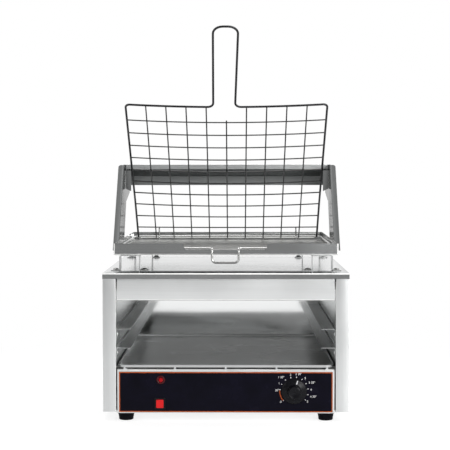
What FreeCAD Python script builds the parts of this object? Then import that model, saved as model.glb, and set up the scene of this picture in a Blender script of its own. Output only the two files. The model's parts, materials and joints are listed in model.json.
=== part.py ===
import FreeCAD, Part
import Sketcher
import math
import os
import re

# Counter-top toaster with a timer, carrying on its top a tray with a wire
# basket.  Lengths in mm, +Z up, X to the viewer's right, front towards -Y.
# Origin: on the table, under the middle of the whole object, which lies a
# little behind the middle of the cabinet; origin_y is that distance.

doc = FreeCAD.newDocument("toaster")

VALUES = {
    # sheet metal and fits
    "sheet": 1.2, "liner_sheet": 0.8, "seat_gap": 0.2, "slide_gap": 0.3,
    "hole_gap": 0.1, "run_gap": 0.05, "bore_gap": 0.02,
    "origin_y": 14.0,
    # cabinet
    "body_width": 420.0, "body_depth": 450.0, "body_height": 237.5,
    "base_height": 16.0, "flange_drop": 9.6, "post_width": 22.5,
    "post_return": 10.0, "rear_flange": 14.0, "roof_return": 14.0,
    "floor_flange": 11.0, "floor_lip": 2.6,
    # front pieces
    "fascia_side": 2.2, "fascia_drop": 46.9, "fascia_setback": 3.4,
    "fascia_return": 12.0, "panel_side": 2.3, "panel_drop": 2.2,
    "panel_top": 73.0, "panel_setback": 2.4, "panel_return": 11.0,
    "tab_side": 14.5, "tab_width": 3.0, "tab_depth": 4.0,
    "face_side": 5.2, "face_bottom": -0.5, "face_height": 69.0,
    # cavity
    "deck_top": 76.2, "deck_sheet": 1.0, "deck_lip": 12.0, "deck_gap": 2.0,
    "roof_drop": 16.5, "roof_lip": 8.0, "back_gap": 18.4,
    "rail_low": 108.4, "rail_high": 140.5, "rail_width": 24.0,
    "rail_leg": 18.0, "rail_rivet": 9.0, "rail_setback": 15.0,
    "rivet_start": 4.0, "rivet_end": 12.0,
    "rail_end": 2.6, "drawer_side": 2.6, "drawer_setback": 2.0,
    "drawer_end": 2.8, "drawer_depth": 4.2, "drawer_corner": 15.0,
    # heaters
    "tube_radius": 5.5, "tube_inset": 16.0, "bush_radius": 8.0,
    "bush_inset": 24.0, "bush_length": 9.0, "heater_drop": 14.0,
    "heater_pitch": 130.0,
    # controls
    "knob_inset": 93.5, "knob_z": 35.7, "knob_angle": 18.0,
    "skirt_radius": 22.0, "skirt_thick": 3.2, "skirt_taper": 1.6,
    "cap_radius": 11.5, "cap_length": 15.0, "cap_taper": 0.4,
    "cap_edge": 1.0, "cap_wall": 4.0, "knob_gap": 0.4,
    "pointer_width": 2.2, "pointer_rise": 0.5,
    "shaft_radius": 3.0, "shaft_tail": 14.0,
    "shaft_hole": 5.0, "timer_side": 46.0, "timer_depth": 34.0,
    "pilot_inset": 99.0, "pilot_z": 54.8, "bezel_radius": 7.6,
    "bezel_thick": 2.4, "bezel_taper": 1.4, "lens_radius": 3.9,
    "lens_height": 4.2, "lens_taper": 1.5, "lens_depth": 10.0, "pilot_neck": 5.5,
    "pilot_length": 22.0, "button_inset": 97.5, "button_z": 14.1,
    "button_width": 12.4, "button_height": 13.9, "button_out": 3.4,
    "button_travel": 2.0, "button_depth": 14.0, "switch_flange": 1.9,
    "switch_wall": 1.4, "switch_depth": 26.0,
    # feet
    "foot_inset_x": 38.5, "foot_inset_y": 20.0, "foot_radius": 14.9,
    "foot_low_radius": 12.4, "foot_chamfer": 1.2, "foot_recess": 6.0,
    # brackets
    "hat_inset": 27.9, "hat_half": 18.0, "hat_height": 27.3,
    "hat_foot": 14.5, "hat_depth": 30.0, "hat_sheet": 1.5,
    "hat_setback": 52.0, "hat_end": 47.0, "hat_screw": 25.0,
    # tray on top
    "tray_inset": 14.5, "tray_setback": 54.0, "tray_overhang": 45.0,
    "tray_wall": 20.2, "notch_left": -73.0, "notch_right": 71.0,
    "notch_wall": 9.2, "notch_radius": 5.0,
    # wire basket
    "rim_inset": 5.5, "rim_radius": 2.0, "rim_front_gap": 3.8,
    "rim_back_gap": 18.0, "rim_corner": 10.0, "rack_wire": 1.25,
    "rack_pitch": 36.4, "rack_first": 25.0, "rack_last": 20.0,
    "rack_pairs": 4, "wire_past_screw": 22.0,
    "rack_bend": 3.0, "weld_bite": 0.2, "wire_lift": 0.3,
    "grip_left": -24.0, "grip_right": 22.0, "grip_reach": 11.0,
    "grip_drop": 12.3, "grip_bend": 5.0,
    # hinged lid of wire
    "hinge_gap": 8.0, "hinge_rise": 8.7, "lid_angle": 38.2,
    "lid_inset": 8.0, "lid_length": 408.4, "lid_wire": 2.0,
    "mesh_wire": 1.25, "mesh_pitch": 36.4, "mesh_first": 39.2,
    "mesh_last": 20.0, "lid_corner": 8.0, "handle_reach": 613.0,
    "handle_left": -23.5, "handle_right": 15.8, "handle_half": 21.3,
    "handle_bend": 10.5, "handle_corner": 17.0,
    "loop_inset": 42.0, "loop_wire": 1.5, "loop_leg": 10.0,
    "loop_tail": 22.5, "loop_gap": 0.1,
    # stand that holds the lid up
    "arm_start": 102.0, "arm_rise": 3.2, "arm_slope": 50.7,
    "arm_length": 200.4, "arm_flange": 9.5, "arm_corner": 5.0,
    "arm_width": 114.0, "arm_knee_y": 174.0, "arm_knee_z": 84.0,
    "arm_rear_y": 258.0, "arm_rear_z": 100.0, "arm_screw_z": 8.0,
    "arm_screw_a": 26.0, "arm_screw_b": 96.0,
    "channel_reach": 96.0, "channel_gap": 23.0, "channel_rise": 155.4,
    "channel_lip": 8.9, "channel_height": 40.4, "channel_hem": 3.0,
    "crease_drop": 22.4, "crease_depth": 0.8, "channel_end": 18.0,
    "channel_inset": 6.0, "channel_screw": 11.0, "channel_screw_in": 17.0,
    "hook_gap": 8.2, "hook_clear": 2.5, "hook_low": 104.0,
    "hook_high": 144.0, "hook_leg": 30.0, "hook_leg_low": 7.0,
    "hook_leg_high": 8.0, "hook_slant": 5.0, "hook_screw": 18.0,
    # screws and rivets
    "screw_radius": 2.0, "head_radius": 4.6, "head_height": 2.0,
    "head_taper": 1.4, "low_head": 1.2,
    "screw_length": 9.0, "short_screw": 4.3, "bracket_head": 5.5,
    "rivet_radius": 1.6, "rivet_head": 2.6, "rivet_thick": 1.2,
    # inside the control bay and at the back
    "gland_inset": 60.0, "gland_z": 34.0, "gland_radius": 8.0,
    "gland_nut": 11.0, "gland_bore": 4.0, "contactor_x": 10.0,
    "contactor_gap": 95.0, "contactor_half": 24.0,
    "contactor_length": 70.0, "contactor_height": 34.0,
    "contactor_step": 8.0, "contactor_cap": 14.0,
    "terminal_inset": 90.0, "terminal_gap": 53.0, "terminal_half": 30.0,
    "terminal_length": 22.0, "terminal_base": 10.0, "terminal_top": 20.0,
    "terminal_step": 2.0, "vent_length": 60.0, "vent_height": 4.0,
    "vent_pitch": 12.0, "vent_gap": 20.0, "vent_shift": 60.0,
    "vent_low": 18.0, "panel_screw_low": 40.0, "panel_screw_drop": 37.5,
}

# Places that follow from the values: each stays tied to what carries it.
DERIVED = {
    "post_edge": "(body_width / 2 - post_width)",
    "fascia_half": "(post_edge - fascia_side)",
    "fascia_bottom": "(body_height - fascia_drop)",
    "panel_half": "(post_edge - panel_side)",
    "face_half": "(post_edge - face_side)",
    "tab_pitch": "((post_edge - tab_side) / 2)",
    "back_y": "(body_depth / 2 - back_gap)",
    "roof_low": "(body_height - roof_drop)",
    "rail_front": "(rail_setback - body_depth / 2)",
    "rail_back": "(back_y - rail_end)",
    "drawer_half": "(post_edge - drawer_side)",
    "drawer_front": "(drawer_setback - body_depth / 2)",
    "drawer_back": "(back_y - drawer_end)",
    "heater_z": "(roof_low - heater_drop)",
    "tube_half": "(body_width / 2 - tube_inset)",
    "bush_half": "(body_width / 2 - bush_inset)",
    "knob_x": "(body_width / 2 - knob_inset)",
    "pilot_x": "(pilot_inset - body_width / 2)",
    "button_x": "(button_inset - body_width / 2)",
    "foot_x": "(body_width / 2 - foot_inset_x)",
    "foot_y": "(body_depth / 2 - foot_inset_y)",
    "hat_x": "(tray_half - hat_inset)",
    "hat_front_y": "(hat_setback - body_depth / 2)",
    "hat_back_y": "(body_depth / 2 - hat_end)",
    "tray_half": "(body_width / 2 - tray_inset)",
    "tray_front": "(tray_setback - body_depth / 2)",
    "tray_back": "(body_depth / 2 + tray_overhang)",
    "rim_half": "(tray_half - rim_inset)",
    "rim_front": "(tray_front + rim_front_gap)",
    "rim_back": "(tray_back - rim_back_gap)",
    "lid_half": "(rim_half - lid_inset)",
    "column_pitch": "((hat_x - wire_past_screw) / rack_pairs)",
    "hinge_y": "(rim_back - hinge_gap)",
    "hinge_z": "(body_height + hat_height + hinge_rise)",
    "loop_x": "(lid_half - loop_inset)",
    "grip_front": "(tray_front - grip_reach)",
    "grip_low": "(body_height + hat_height - grip_drop)",
    "arm_foot_y": "(tray_front + arm_start)",
    "arm_foot_z": "(body_height + hat_height + arm_rise)",
    "channel_front": "(arm_foot_y + arm_rear_y - channel_reach)",
    "channel_back": "(arm_foot_y + arm_rear_y - channel_gap)",
    "channel_top": "(arm_foot_z + channel_rise)",
    "channel_low": "(channel_top - channel_height)",
    "crease_high": "(channel_top - crease_drop)",
    "hook_y": "(channel_front - hook_gap)",
    "hook_reach": "(lid_half + hook_clear)",
    "hook_bottom": "(arm_foot_z + hook_low)",
    "hook_top": "(arm_foot_z + hook_high)",
    "gland_x": "(gland_inset - body_width / 2)",
    "contactor_y": "(body_depth / 2 - contactor_gap)",
    "terminal_x": "(terminal_inset - body_width / 2)",
    "terminal_y": "(body_depth / 2 - terminal_gap)",
}

table = doc.addObject("Spreadsheet::Sheet", "Dims")
for row, (alias, value) in enumerate(VALUES.items(), start=1):
    table.set("A%d" % row, alias)
    table.set("B%d" % row, repr(value))
    table.setAlias("B%d" % row, alias)
doc.recompute()

# Levels above the bottoms of the corner posts are written with up().
INNER = "(body_width / 2 - sheet)"
POST_EDGE = "(body_width / 2 - post_width)"
FRONT = "(-body_depth / 2)"
POST_Y = "(-body_depth / 2 + sheet + seat_gap)"
REAR_Y = "(body_depth / 2 - sheet - seat_gap)"
TOP = "(base_height + body_height)"
ROOF = "(base_height + body_height - sheet - seat_gap)"
HAT_TOP = "(base_height + body_height + hat_height)"
TRAY_FLOOR = "(base_height + body_height + hat_height + sheet)"
PANEL_Y = "(-body_depth / 2 + panel_setback)"
FACE_Y = "(-body_depth / 2 + panel_setback - liner_sheet)"
LINER = "(body_width / 2 - post_width)"


def up(level):
    return "(base_height + %s)" % level


WORD = re.compile(r"[a-z][a-z0-9_]*")


def spell(match):
    word = match.group(0)
    if word in DERIVED:
        return WORD.sub(spell, DERIVED[word])
    if word in VALUES:
        return "Dims." + word
    return word


def ex(text):
    # an expression in the names above, with the table's names spelled out
    return WORD.sub(spell, str(text))


def num(text):
    # value of an expression of the table's names, read through the table
    probe.set("A1", "=" + ex(text))
    doc.recompute([probe])
    return float(probe.get("A1"))


probe = doc.addObject("Spreadsheet::Sheet", "Probe")


def side(s, low, high):
    # a range of X on the right hand side, or its mirror image on the left
    if s > 0:
        return (low, high)
    return ("-(%s)" % high, "-(%s)" % low)


def move(obj, x, y, z):
    obj.setExpression("Placement.Base.x", ex(x))
    obj.setExpression("Placement.Base.y", ex(y))
    obj.setExpression("Placement.Base.z", ex(z))


def box(xs, ys, zs, name="Block"):
    b = doc.addObject("Part::Box", name)
    b.setExpression("Length", ex("%s - (%s)" % (xs[1], xs[0])))
    b.setExpression("Width", ex("%s - (%s)" % (ys[1], ys[0])))
    b.setExpression("Height", ex("%s - (%s)" % (zs[1], zs[0])))
    move(b, xs[0], ys[0], zs[0])
    return b


TURN = {
    "z": FreeCAD.Rotation(),
    "x": FreeCAD.Rotation(FreeCAD.Vector(0, 1, 0), 90),
    "y": FreeCAD.Rotation(FreeCAD.Vector(1, 0, 0), -90),
}


def cyl(x, y, z, radius, length, axis="z", name="Round"):
    c = doc.addObject("Part::Cylinder", name)
    c.Placement = FreeCAD.Placement(FreeCAD.Vector(), TURN[axis])
    c.setExpression("Radius", ex(radius))
    c.setExpression("Height", ex(length))
    move(c, x, y, z)
    return c


def cone(x, y, z, low, high, length, axis="z", name="Taper"):
    c = doc.addObject("Part::Cone", name)
    c.Placement = FreeCAD.Placement(FreeCAD.Vector(), TURN[axis])
    c.setExpression("Radius1", ex(low))
    c.setExpression("Radius2", ex(high))
    c.setExpression("Height", ex(length))
    move(c, x, y, z)
    return c


def join(parts, name="Joined"):
    j = doc.addObject("Part::MultiFuse", name)
    j.Shapes = parts
    j.Refine = True
    return j


def less(base, tools, name="Trimmed"):
    if len(tools) > 1:
        tool = doc.addObject("Part::MultiFuse", name + "Tools")
        tool.Shapes = tools
    else:
        tool = tools[0]
    c = doc.addObject("Part::Cut", name)
    c.Base = base
    c.Tool = tool
    return c


def group(parts, name="Group"):
    g = doc.addObject("Part::Compound", name)
    g.Links = parts
    return g


def plane(body, role):
    return [f for f in body.Origin.OriginFeatures if f.Role == role][0]


def sketch(body, role, points, name):
    s = body.newObject("Sketcher::SketchObject", name)
    s.AttachmentSupport = [(plane(body, role), "")]
    s.MapMode = "FlatFace"
    count = len(points)
    start = [FreeCAD.Vector(i + 1, (i + 1) ** 2, 0) for i in range(count)]
    for i in range(count):
        s.addGeometry(Part.LineSegment(start[i], start[(i + 1) % count]), False)
    for i in range(count):
        s.addConstraint(Sketcher.Constraint("Coincident", i, 2, (i + 1) % count, 1))
    for i, (px, py) in enumerate(points):
        k = s.addConstraint(Sketcher.Constraint("DistanceX", -1, 1, i, 1, start[i].x))
        s.setExpression("Constraints[%d]" % k, ex(px))
        k = s.addConstraint(Sketcher.Constraint("DistanceY", -1, 1, i, 1, start[i].y))
        s.setExpression("Constraints[%d]" % k, ex(py))
    return s


def folded(name, role, points, length, shift=None):
    # a sheet profile drawn on one origin plane and padded to its length
    body = doc.addObject("PartDesign::Body", name)
    s = sketch(body, role, points, name + "Profile")
    pad = body.newObject("PartDesign::Pad", name + "Pad")
    pad.Profile = s
    pad.setExpression("Length", ex(length))
    body.Tip = pad
    if shift:
        move(body, *shift)
    return body


NODES = {}


def node(label, obj):
    obj.Label = label
    NODES[label] = obj
    return obj


def wire_rod(points, radius, bends, closed=False):
    # round wire swept along straight runs with rounded bends
    count = len(points)
    vs = [FreeCAD.Vector(*p) for p in points]
    edges = []
    ends = []
    for i in range(count):
        if not closed and i in (0, count - 1):
            ends.append((vs[i], vs[i]))
            continue
        a = vs[i - 1] - vs[i]
        b = vs[(i + 1) % count] - vs[i]
        half = a.getAngle(b) / 2
        setback = bends[i] / math.tan(half)
        a.normalize()
        b.normalize()
        p = vs[i] + a * setback
        q = vs[i] + b * setback
        inward = a + b
        inward.normalize()
        centre = vs[i] + inward * (bends[i] / math.sin(half))
        middle = centre - inward * bends[i]
        ends.append((p, q))
        edges.append((i, Part.Arc(p, middle, q).toShape()))
    path = []
    arcs = dict(edges)
    last = count if closed else count - 1
    for i in range(last):
        if i in arcs:
            path.append(arcs[i])
        path.append(Part.makeLine(ends[i][1], ends[(i + 1) % count][0]))
    spine = Part.Wire(Part.__sortEdges__(path))
    first = ends[0][1]
    along = ends[1][0] - first
    ring = Part.Wire([Part.makeCircle(radius, first, along)])
    return spine.makePipeShell([ring], True, False)


def rod(start, end, radius):
    a = FreeCAD.Vector(*start)
    b = FreeCAD.Vector(*end)
    return Part.makeCylinder(radius, (b - a).Length, a, b - a)


def feature(name, shape):
    f = doc.addObject("Part::Feature", name)
    f.Shape = shape
    return f


# Bottom plate: a pan with low flanges on all four sides and four foot holes.
FLOOR_X = "(body_width / 2 - sheet - seat_gap)"
FLOOR_F = "(-body_depth / 2 + panel_setback + sheet + seat_gap)"
FLOOR_B = "(body_depth / 2 - 3 * sheet - 3 * seat_gap)"
FLOOR_Z = "(base_height - sheet - seat_gap)"
LOW = "(base_height - seat_gap)"
FLANGE_Z = "(base_height + floor_flange)"
CORNER_IN = "(body_width / 2 - post_width - seat_gap)"
CORNER_Y = "(-body_depth / 2 + sheet + 2 * seat_gap + post_return)"
pan = [
    box(("-" + FLOOR_X, FLOOR_X), (CORNER_Y, FLOOR_B), (FLOOR_Z, LOW)),
    box(("-" + CORNER_IN, CORNER_IN), (FLOOR_F, CORNER_Y), (FLOOR_Z, LOW)),
    box(("-" + CORNER_IN, CORNER_IN), (FLOOR_F, FLOOR_F + " + sheet"), (FLOOR_Z, up("floor_lip"))),
    box(("-" + FLOOR_X, FLOOR_X), (FLOOR_B + " - sheet", FLOOR_B), (FLOOR_Z, FLANGE_Z)),
]
for s in (-1, 1):
    pan.append(box(side(s, FLOOR_X + " - sheet", FLOOR_X), (CORNER_Y, FLOOR_B), (FLOOR_Z, FLANGE_Z)))
foot_at = [(sx, sy) for sx in (-1, 1) for sy in (-1, 1)]
foot_holes = []
for sx, sy in foot_at:
    foot_holes.append(cyl("%d * foot_x" % sx, "%d * foot_y" % sy, FLOOR_Z + " - 1",
                          "screw_radius + hole_gap", "sheet + 2"))
node("bottom_plate", less(join(pan), foot_holes, "BottomPlate"))

# Side panels: a folded channel with the front post, and a return at the top
# for the roof to lie on.
for s, hand in ((-1, "left"), (1, "right")):
    walls = [
        ("body_width / 2 * %d" % s, POST_Y),
        ("body_width / 2 * %d" % s, REAR_Y),
        ("(body_width / 2 - rear_flange) * %d" % s, REAR_Y),
        ("(body_width / 2 - rear_flange) * %d" % s, REAR_Y + " - sheet"),
        (INNER + " * %d" % s, REAR_Y + " - sheet"),
        (INNER + " * %d" % s, POST_Y + " + sheet"),
        ("(" + POST_EDGE + " + sheet) * %d" % s, POST_Y + " + sheet"),
        ("(" + POST_EDGE + " + sheet) * %d" % s, POST_Y + " + post_return"),
        (POST_EDGE + " * %d" % s, POST_Y + " + post_return"),
        (POST_EDGE + " * %d" % s, POST_Y),
    ]
    shell = folded("SideShell", "XY_Plane", walls, "body_height - sheet - seat_gap",
                   ("0", "0", "base_height"))
    lid_return = box(side(s, "body_width / 2 - roof_return", "body_width / 2 - sheet / 2"),
                     (POST_Y + " + post_return + 2", REAR_Y + " - sheet - 2"), (ROOF + " - sheet", ROOF))
    node(hand + "_side_panel", join([shell, lid_return], "SidePanel"))

# Roof: flat sheet with a flange turned down at the front and at the back.
roof_points = [
    ("body_depth / -2", TOP),
    ("body_depth / 2", TOP),
    ("body_depth / 2", TOP + " - flange_drop - sheet"),
    ("body_depth / 2 - sheet", TOP + " - flange_drop - sheet"),
    ("body_depth / 2 - sheet", TOP + " - sheet"),
    ("body_depth / -2 + sheet", TOP + " - sheet"),
    ("body_depth / -2 + sheet", TOP + " - flange_drop"),
    ("body_depth / -2", TOP + " - flange_drop"),
]
roof = folded("Roof", "YZ_Plane", roof_points, "body_width", ("-body_width / 2", "0", "0"))
HATS = []
for s in (-1, 1):
    for end, y in (("front", "hat_front_y"), ("rear", "hat_back_y")):
        HATS.append((s, end, "(%d * hat_x)" % s, "(%s + hat_depth / 2)" % y))
roof_holes = []
for s, end, x, y in HATS:
    for t in (-1, 1):
        roof_holes.append(cyl("%s + %d * hat_screw" % (x, t), y, TOP + " - sheet - 1",
                              "screw_radius + hole_gap", "sheet + 2"))
node("top_panel", less(roof, roof_holes, "TopPanel"))

# Rear panel: closes the back, with air slots and the hole of the cable gland.
REAR_IN = "(body_depth / 2 - 2 * sheet - 2 * seat_gap)"
rear_sheet = box(("-" + INNER + " + 2 * seat_gap", INNER + " - 2 * seat_gap"),
                 (REAR_IN + " - sheet", REAR_IN), ("base_height", ROOF + " - sheet - seat_gap"))
rear_cuts = [cyl("gland_x", REAR_IN + " - sheet - 1", up("gland_z"),
                 "gland_radius + hole_gap", "sheet + 2", "y")]
for col in (-1, 0, 1):
    for row in range(4):
        mid = "vent_shift + %d * (vent_length + vent_gap)" % col
        low = up("vent_low + %d * vent_pitch" % row)
        rear_cuts.append(box((mid + " - vent_length / 2", mid + " + vent_length / 2"),
                             (REAR_IN + " - sheet - 1", REAR_IN + " + 1"), (low, low + " + vent_height")))
PANEL_SCREWS = []
for s in (-1, 1):
    for level in ("panel_screw_low", "body_height - panel_screw_drop"):
        PANEL_SCREWS.append(("%d * (body_width / 2 - rear_flange / 2 - 1)" % s, up(level)))
for x, z in PANEL_SCREWS:
    rear_cuts.append(cyl(x, REAR_IN + " - sheet - 1", z, "screw_radius + hole_gap", "sheet + 2", "y"))
node("rear_panel", less(rear_sheet, rear_cuts, "RearPanel"))
for s, hand in ((-1, "left"), (1, "right")):
    holes = []
    for x, z in PANEL_SCREWS:
        if x.startswith("%d *" % s):
            holes.append(cyl(x, REAR_Y + " - sheet - 1", z, "screw_radius + hole_gap", "sheet + 2", "y"))
    node(hand + "_side_panel", less(NODES[hand + "_side_panel"], holes, "SidePanelDrilled"))

# Upper fascia: the plain front above the opening, turned back at both edges.
FAS_Y = "(-body_depth / 2 + fascia_setback)"
fascia_points = [
    (FAS_Y, up("fascia_bottom")),
    (FAS_Y, ROOF),
    (FAS_Y + " + fascia_return", ROOF),
    (FAS_Y + " + fascia_return", ROOF + " - sheet"),
    (FAS_Y + " + sheet", ROOF + " - sheet"),
    (FAS_Y + " + sheet", up("fascia_bottom + sheet")),
    (FAS_Y + " + fascia_return", up("fascia_bottom + sheet")),
    (FAS_Y + " + fascia_return", up("fascia_bottom")),
]
node("upper_fascia", folded("Fascia", "YZ_Plane", fascia_points, "2 * fascia_half",
                            ("-fascia_half", "0", "0")))

# Control panel: front of the control bay with a ledge and five spacing tabs
# on which the front of the crumb tray lies.
panel_points = [
    (PANEL_Y, up("-panel_drop")),
    (PANEL_Y, up("panel_top")),
    (PANEL_Y + " + panel_return", up("panel_top")),
    (PANEL_Y + " + panel_return", up("panel_top - sheet")),
    (PANEL_Y + " + sheet", up("panel_top - sheet")),
    (PANEL_Y + " + sheet", up("-panel_drop")),
]
panel = folded("ControlFront", "YZ_Plane", panel_points, "2 * panel_half",
               ("-panel_half", "0", "0"))
tabs = [panel]
for i in range(-2, 3):
    tabs.append(box(("%d * tab_pitch - tab_width / 2" % i, "%d * tab_pitch + tab_width / 2" % i),
                    (PANEL_Y, PANEL_Y + " + tab_depth"), (up("panel_top - sheet"), up("deck_top"))))
BUTTON_W = "(button_width / 2 + switch_wall)"
BUTTON_H = "(button_height / 2 + switch_wall)"


def control_openings(y, thick):
    return [
        cyl("knob_x", y + " - 1", up("knob_z"), "shaft_hole", thick + " + 2", "y"),
        cyl("pilot_x", y + " - 1", up("pilot_z"), "pilot_neck + hole_gap", thick + " + 2", "y"),
        box(("button_x - %s - hole_gap" % BUTTON_W, "button_x + %s + hole_gap" % BUTTON_W),
            (y + " - 1", y + " + 3"),
            (up("button_z - %s - hole_gap" % BUTTON_H), up("button_z + %s + hole_gap" % BUTTON_H))),
    ]


node("control_panel", less(join(tabs), control_openings(PANEL_Y, "sheet"), "ControlPanel"))

# Control face: thin printed plate on the control panel.
face = box(("-face_half", "face_half"), (FACE_Y, PANEL_Y),
           (up("face_bottom"), up("face_bottom + face_height")))
node("control_face", less(face, control_openings(FACE_Y, "liner_sheet"), "ControlFace"))

# Cavity: side linings, polished back, deck below and reflector above.
LINE_F = "(-body_depth / 2 + sheet + 2 * seat_gap + post_return)"
BUSH_Y = ["%d * heater_pitch" % i for i in (-1, 0, 1)]
RAIL_LEVELS = ("rail_low", "rail_high")
RIVET_Y = ("rail_front + rivet_start", "rail_back - rivet_end")
for s, hand in ((-1, "left"), (1, "right")):
    lining = box(side(s, LINER, LINER + " + liner_sheet"), (LINE_F, "back_y - seat_gap"),
                 (up("panel_top + 1"), up("roof_low + liner_sheet")))
    holes = []
    for y in BUSH_Y:
        holes.append(cyl("%d * (%s + liner_sheet / 2) - 3" % (s, LINER), y, up("heater_z"),
                         "bush_radius + hole_gap", "6", "x"))
    for level in RAIL_LEVELS:
        for y in RIVET_Y:
            holes.append(cyl("%d * (%s + liner_sheet / 2) - 3" % (s, LINER), y, up(level + " - rail_rivet"),
                             "rivet_radius + hole_gap", "6", "x"))
    node(hand + "_liner", less(lining, holes, "Liner"))
    # Rails: two ledges, each with a leg riveted to the lining.
    rails = []
    for level in RAIL_LEVELS:
        ledge = box(side(s, LINER + " - seat_gap - rail_width", LINER + " - seat_gap"),
                    ("rail_front", "rail_back"), (up(level + " - liner_sheet"), up(level)))
        leg = box(side(s, LINER + " - seat_gap - liner_sheet", LINER + " - seat_gap"),
                  ("rail_front", "rail_back"), (up(level + " - rail_leg"), up(level)))
        drill = [cyl("%d * (%s - seat_gap - liner_sheet / 2) - 2" % (s, LINER), y,
                     up(level + " - rail_rivet"), "rivet_radius + hole_gap", "4", "x") for y in RIVET_Y]
        rails.append(less(join([ledge, leg]), drill, "Rail"))
    node(hand + "_rails", group(rails, "Rails"))
    rivets = []
    for level in RAIL_LEVELS:
        for y in RIVET_Y:
            if s > 0:
                head_x = "%s - seat_gap - liner_sheet - rivet_thick" % LINER
                stem_x = "%s - seat_gap - liner_sheet - 0.5" % LINER
            else:
                head_x = "-(%s - seat_gap - liner_sheet)" % LINER
                stem_x = "-(%s + liner_sheet + 1)" % LINER
            head = cyl(head_x, y, up(level + " - rail_rivet"), "rivet_head", "rivet_thick", "x")
            stem = cyl(stem_x, y, up(level + " - rail_rivet"), "rivet_radius",
                       "liner_sheet * 2 + seat_gap + 1.5", "x")
            rivets.append(join([head, stem], "Rivet"))
    node(hand + "_rivets", group(rivets, "Rivets"))

CAVITY = ("-%s + seat_gap" % LINER, "%s - seat_gap" % LINER)
BETWEEN = ("-fascia_half", "fascia_half")
node("cavity_back", box(CAVITY, ("back_y", "back_y + liner_sheet"),
                        (up("panel_top + 1"), up("roof_low + liner_sheet"))))
DECK_Y = "(" + PANEL_Y + " + panel_return + deck_gap)"
node("deck_plate", join([
    box(CAVITY, (DECK_Y, "back_y - seat_gap"), (up("deck_top - deck_sheet"), up("deck_top"))),
    box(BETWEEN, (DECK_Y, DECK_Y + " + deck_sheet"), (up("deck_top - deck_lip"), up("deck_top"))),
], "Deck"))
HOOD_Y = "(" + FAS_Y + " + sheet + deck_gap)"
HOOD_TOP = up("roof_low + liner_sheet")
node("upper_reflector", join([
    box(CAVITY, (HOOD_Y, "back_y - seat_gap"), (up("roof_low"), HOOD_TOP)),
    box(BETWEEN, (HOOD_Y, HOOD_Y + " + liner_sheet"), (up("roof_low - roof_lip"), HOOD_TOP)),
], "Reflector"))

# Heater tubes across the top of the cavity, each in two ceramic bushes.
for i, y in enumerate(BUSH_Y):
    node("heater_tube_%d" % (i + 1),
         cyl("-tube_half", y, up("heater_z"), "tube_radius", "2 * tube_half", "x"))
bushes = []
for y in BUSH_Y:
    for s in (-1, 1):
        start = "bush_half" if s > 0 else "-bush_half - bush_length"
        outer = cyl(start, y, up("heater_z"), "bush_radius", "bush_length", "x")
        bore = cyl(start + " - 1", y, up("heater_z"), "tube_radius + run_gap",
                   "bush_length + 2", "x")
        bushes.append(less(outer, [bore], "Bush"))
node("heater_bushes", group(bushes, "Bushes"))

# Crumb tray: shallow pan with rounded front corners, sliding on the deck.
drawer = doc.addObject("PartDesign::Body", "Drawer")


def rounded_sketch(body, half, front, back, radius, name):
    s = body.newObject("Sketcher::SketchObject", name)
    s.AttachmentSupport = [(plane(body, "XY_Plane"), "")]
    s.MapMode = "FlatFace"
    c = Sketcher.Constraint
    v = FreeCAD.Vector
    s.addGeometry(Part.LineSegment(v(-50, -80, 0), v(50, -80, 0)), False)
    right = Part.Circle(v(50, -60, 0), v(0, 0, 1), 20)
    left = Part.Circle(v(-50, -60, 0), v(0, 0, 1), 20)
    s.addGeometry(Part.ArcOfCircle(right, -math.pi / 2, 0), False)
    s.addGeometry(Part.LineSegment(v(70, -60, 0), v(70, 90, 0)), False)
    s.addGeometry(Part.LineSegment(v(70, 90, 0), v(-70, 90, 0)), False)
    s.addGeometry(Part.LineSegment(v(-70, 90, 0), v(-70, -60, 0)), False)
    s.addGeometry(Part.ArcOfCircle(left, math.pi, math.pi * 1.5), False)
    s.addConstraint(c("Tangent", 0, 2, 1, 1))
    s.addConstraint(c("Tangent", 1, 2, 2, 1))
    s.addConstraint(c("Coincident", 2, 2, 3, 1))
    s.addConstraint(c("Coincident", 3, 2, 4, 1))
    s.addConstraint(c("Tangent", 4, 2, 5, 1))
    s.addConstraint(c("Tangent", 5, 2, 0, 1))
    s.addConstraint(c("Horizontal", 0))
    s.addConstraint(c("Horizontal", 3))
    s.addConstraint(c("Vertical", 2))
    s.addConstraint(c("Vertical", 4))
    s.addConstraint(c("Equal", 1, 5))
    for kind, index, pos, value, text in (
            ("DistanceX", 3, 1, 70, half), ("DistanceX", 3, 2, -70, "-(%s)" % half),
            ("DistanceY", 0, 1, -80, front), ("DistanceY", 3, 1, 90, back)):
        k = s.addConstraint(c(kind, -1, 1, index, pos, value))
        s.setExpression("Constraints[%d]" % k, ex(text))
    k = s.addConstraint(c("Radius", 1, 20))
    s.setExpression("Constraints[%d]" % k, ex(radius))
    return s


outline = rounded_sketch(drawer, "drawer_half", "drawer_front", "drawer_back", "drawer_corner",
                         "DrawerOutline")
slab = drawer.newObject("PartDesign::Pad", "DrawerSlab")
slab.Profile = outline
slab.setExpression("Length", ex("drawer_depth"))
drawer.Tip = slab
move(drawer, "0", "0", up("deck_top + seat_gap"))
core = doc.addObject("PartDesign::Body", "DrawerCore")
inside = rounded_sketch(core, "drawer_half - deck_sheet", "drawer_front + deck_sheet",
                        "drawer_back - deck_sheet", "drawer_corner - deck_sheet", "DrawerInside")
core_pad = core.newObject("PartDesign::Pad", "DrawerCorePad")
core_pad.Profile = inside
core_pad.setExpression("Length", ex("drawer_depth"))
core.Tip = core_pad
move(core, "0", "0", up("deck_top + seat_gap + deck_sheet"))
node("crumb_tray", less(drawer, [core], "CrumbTray"))

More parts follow.
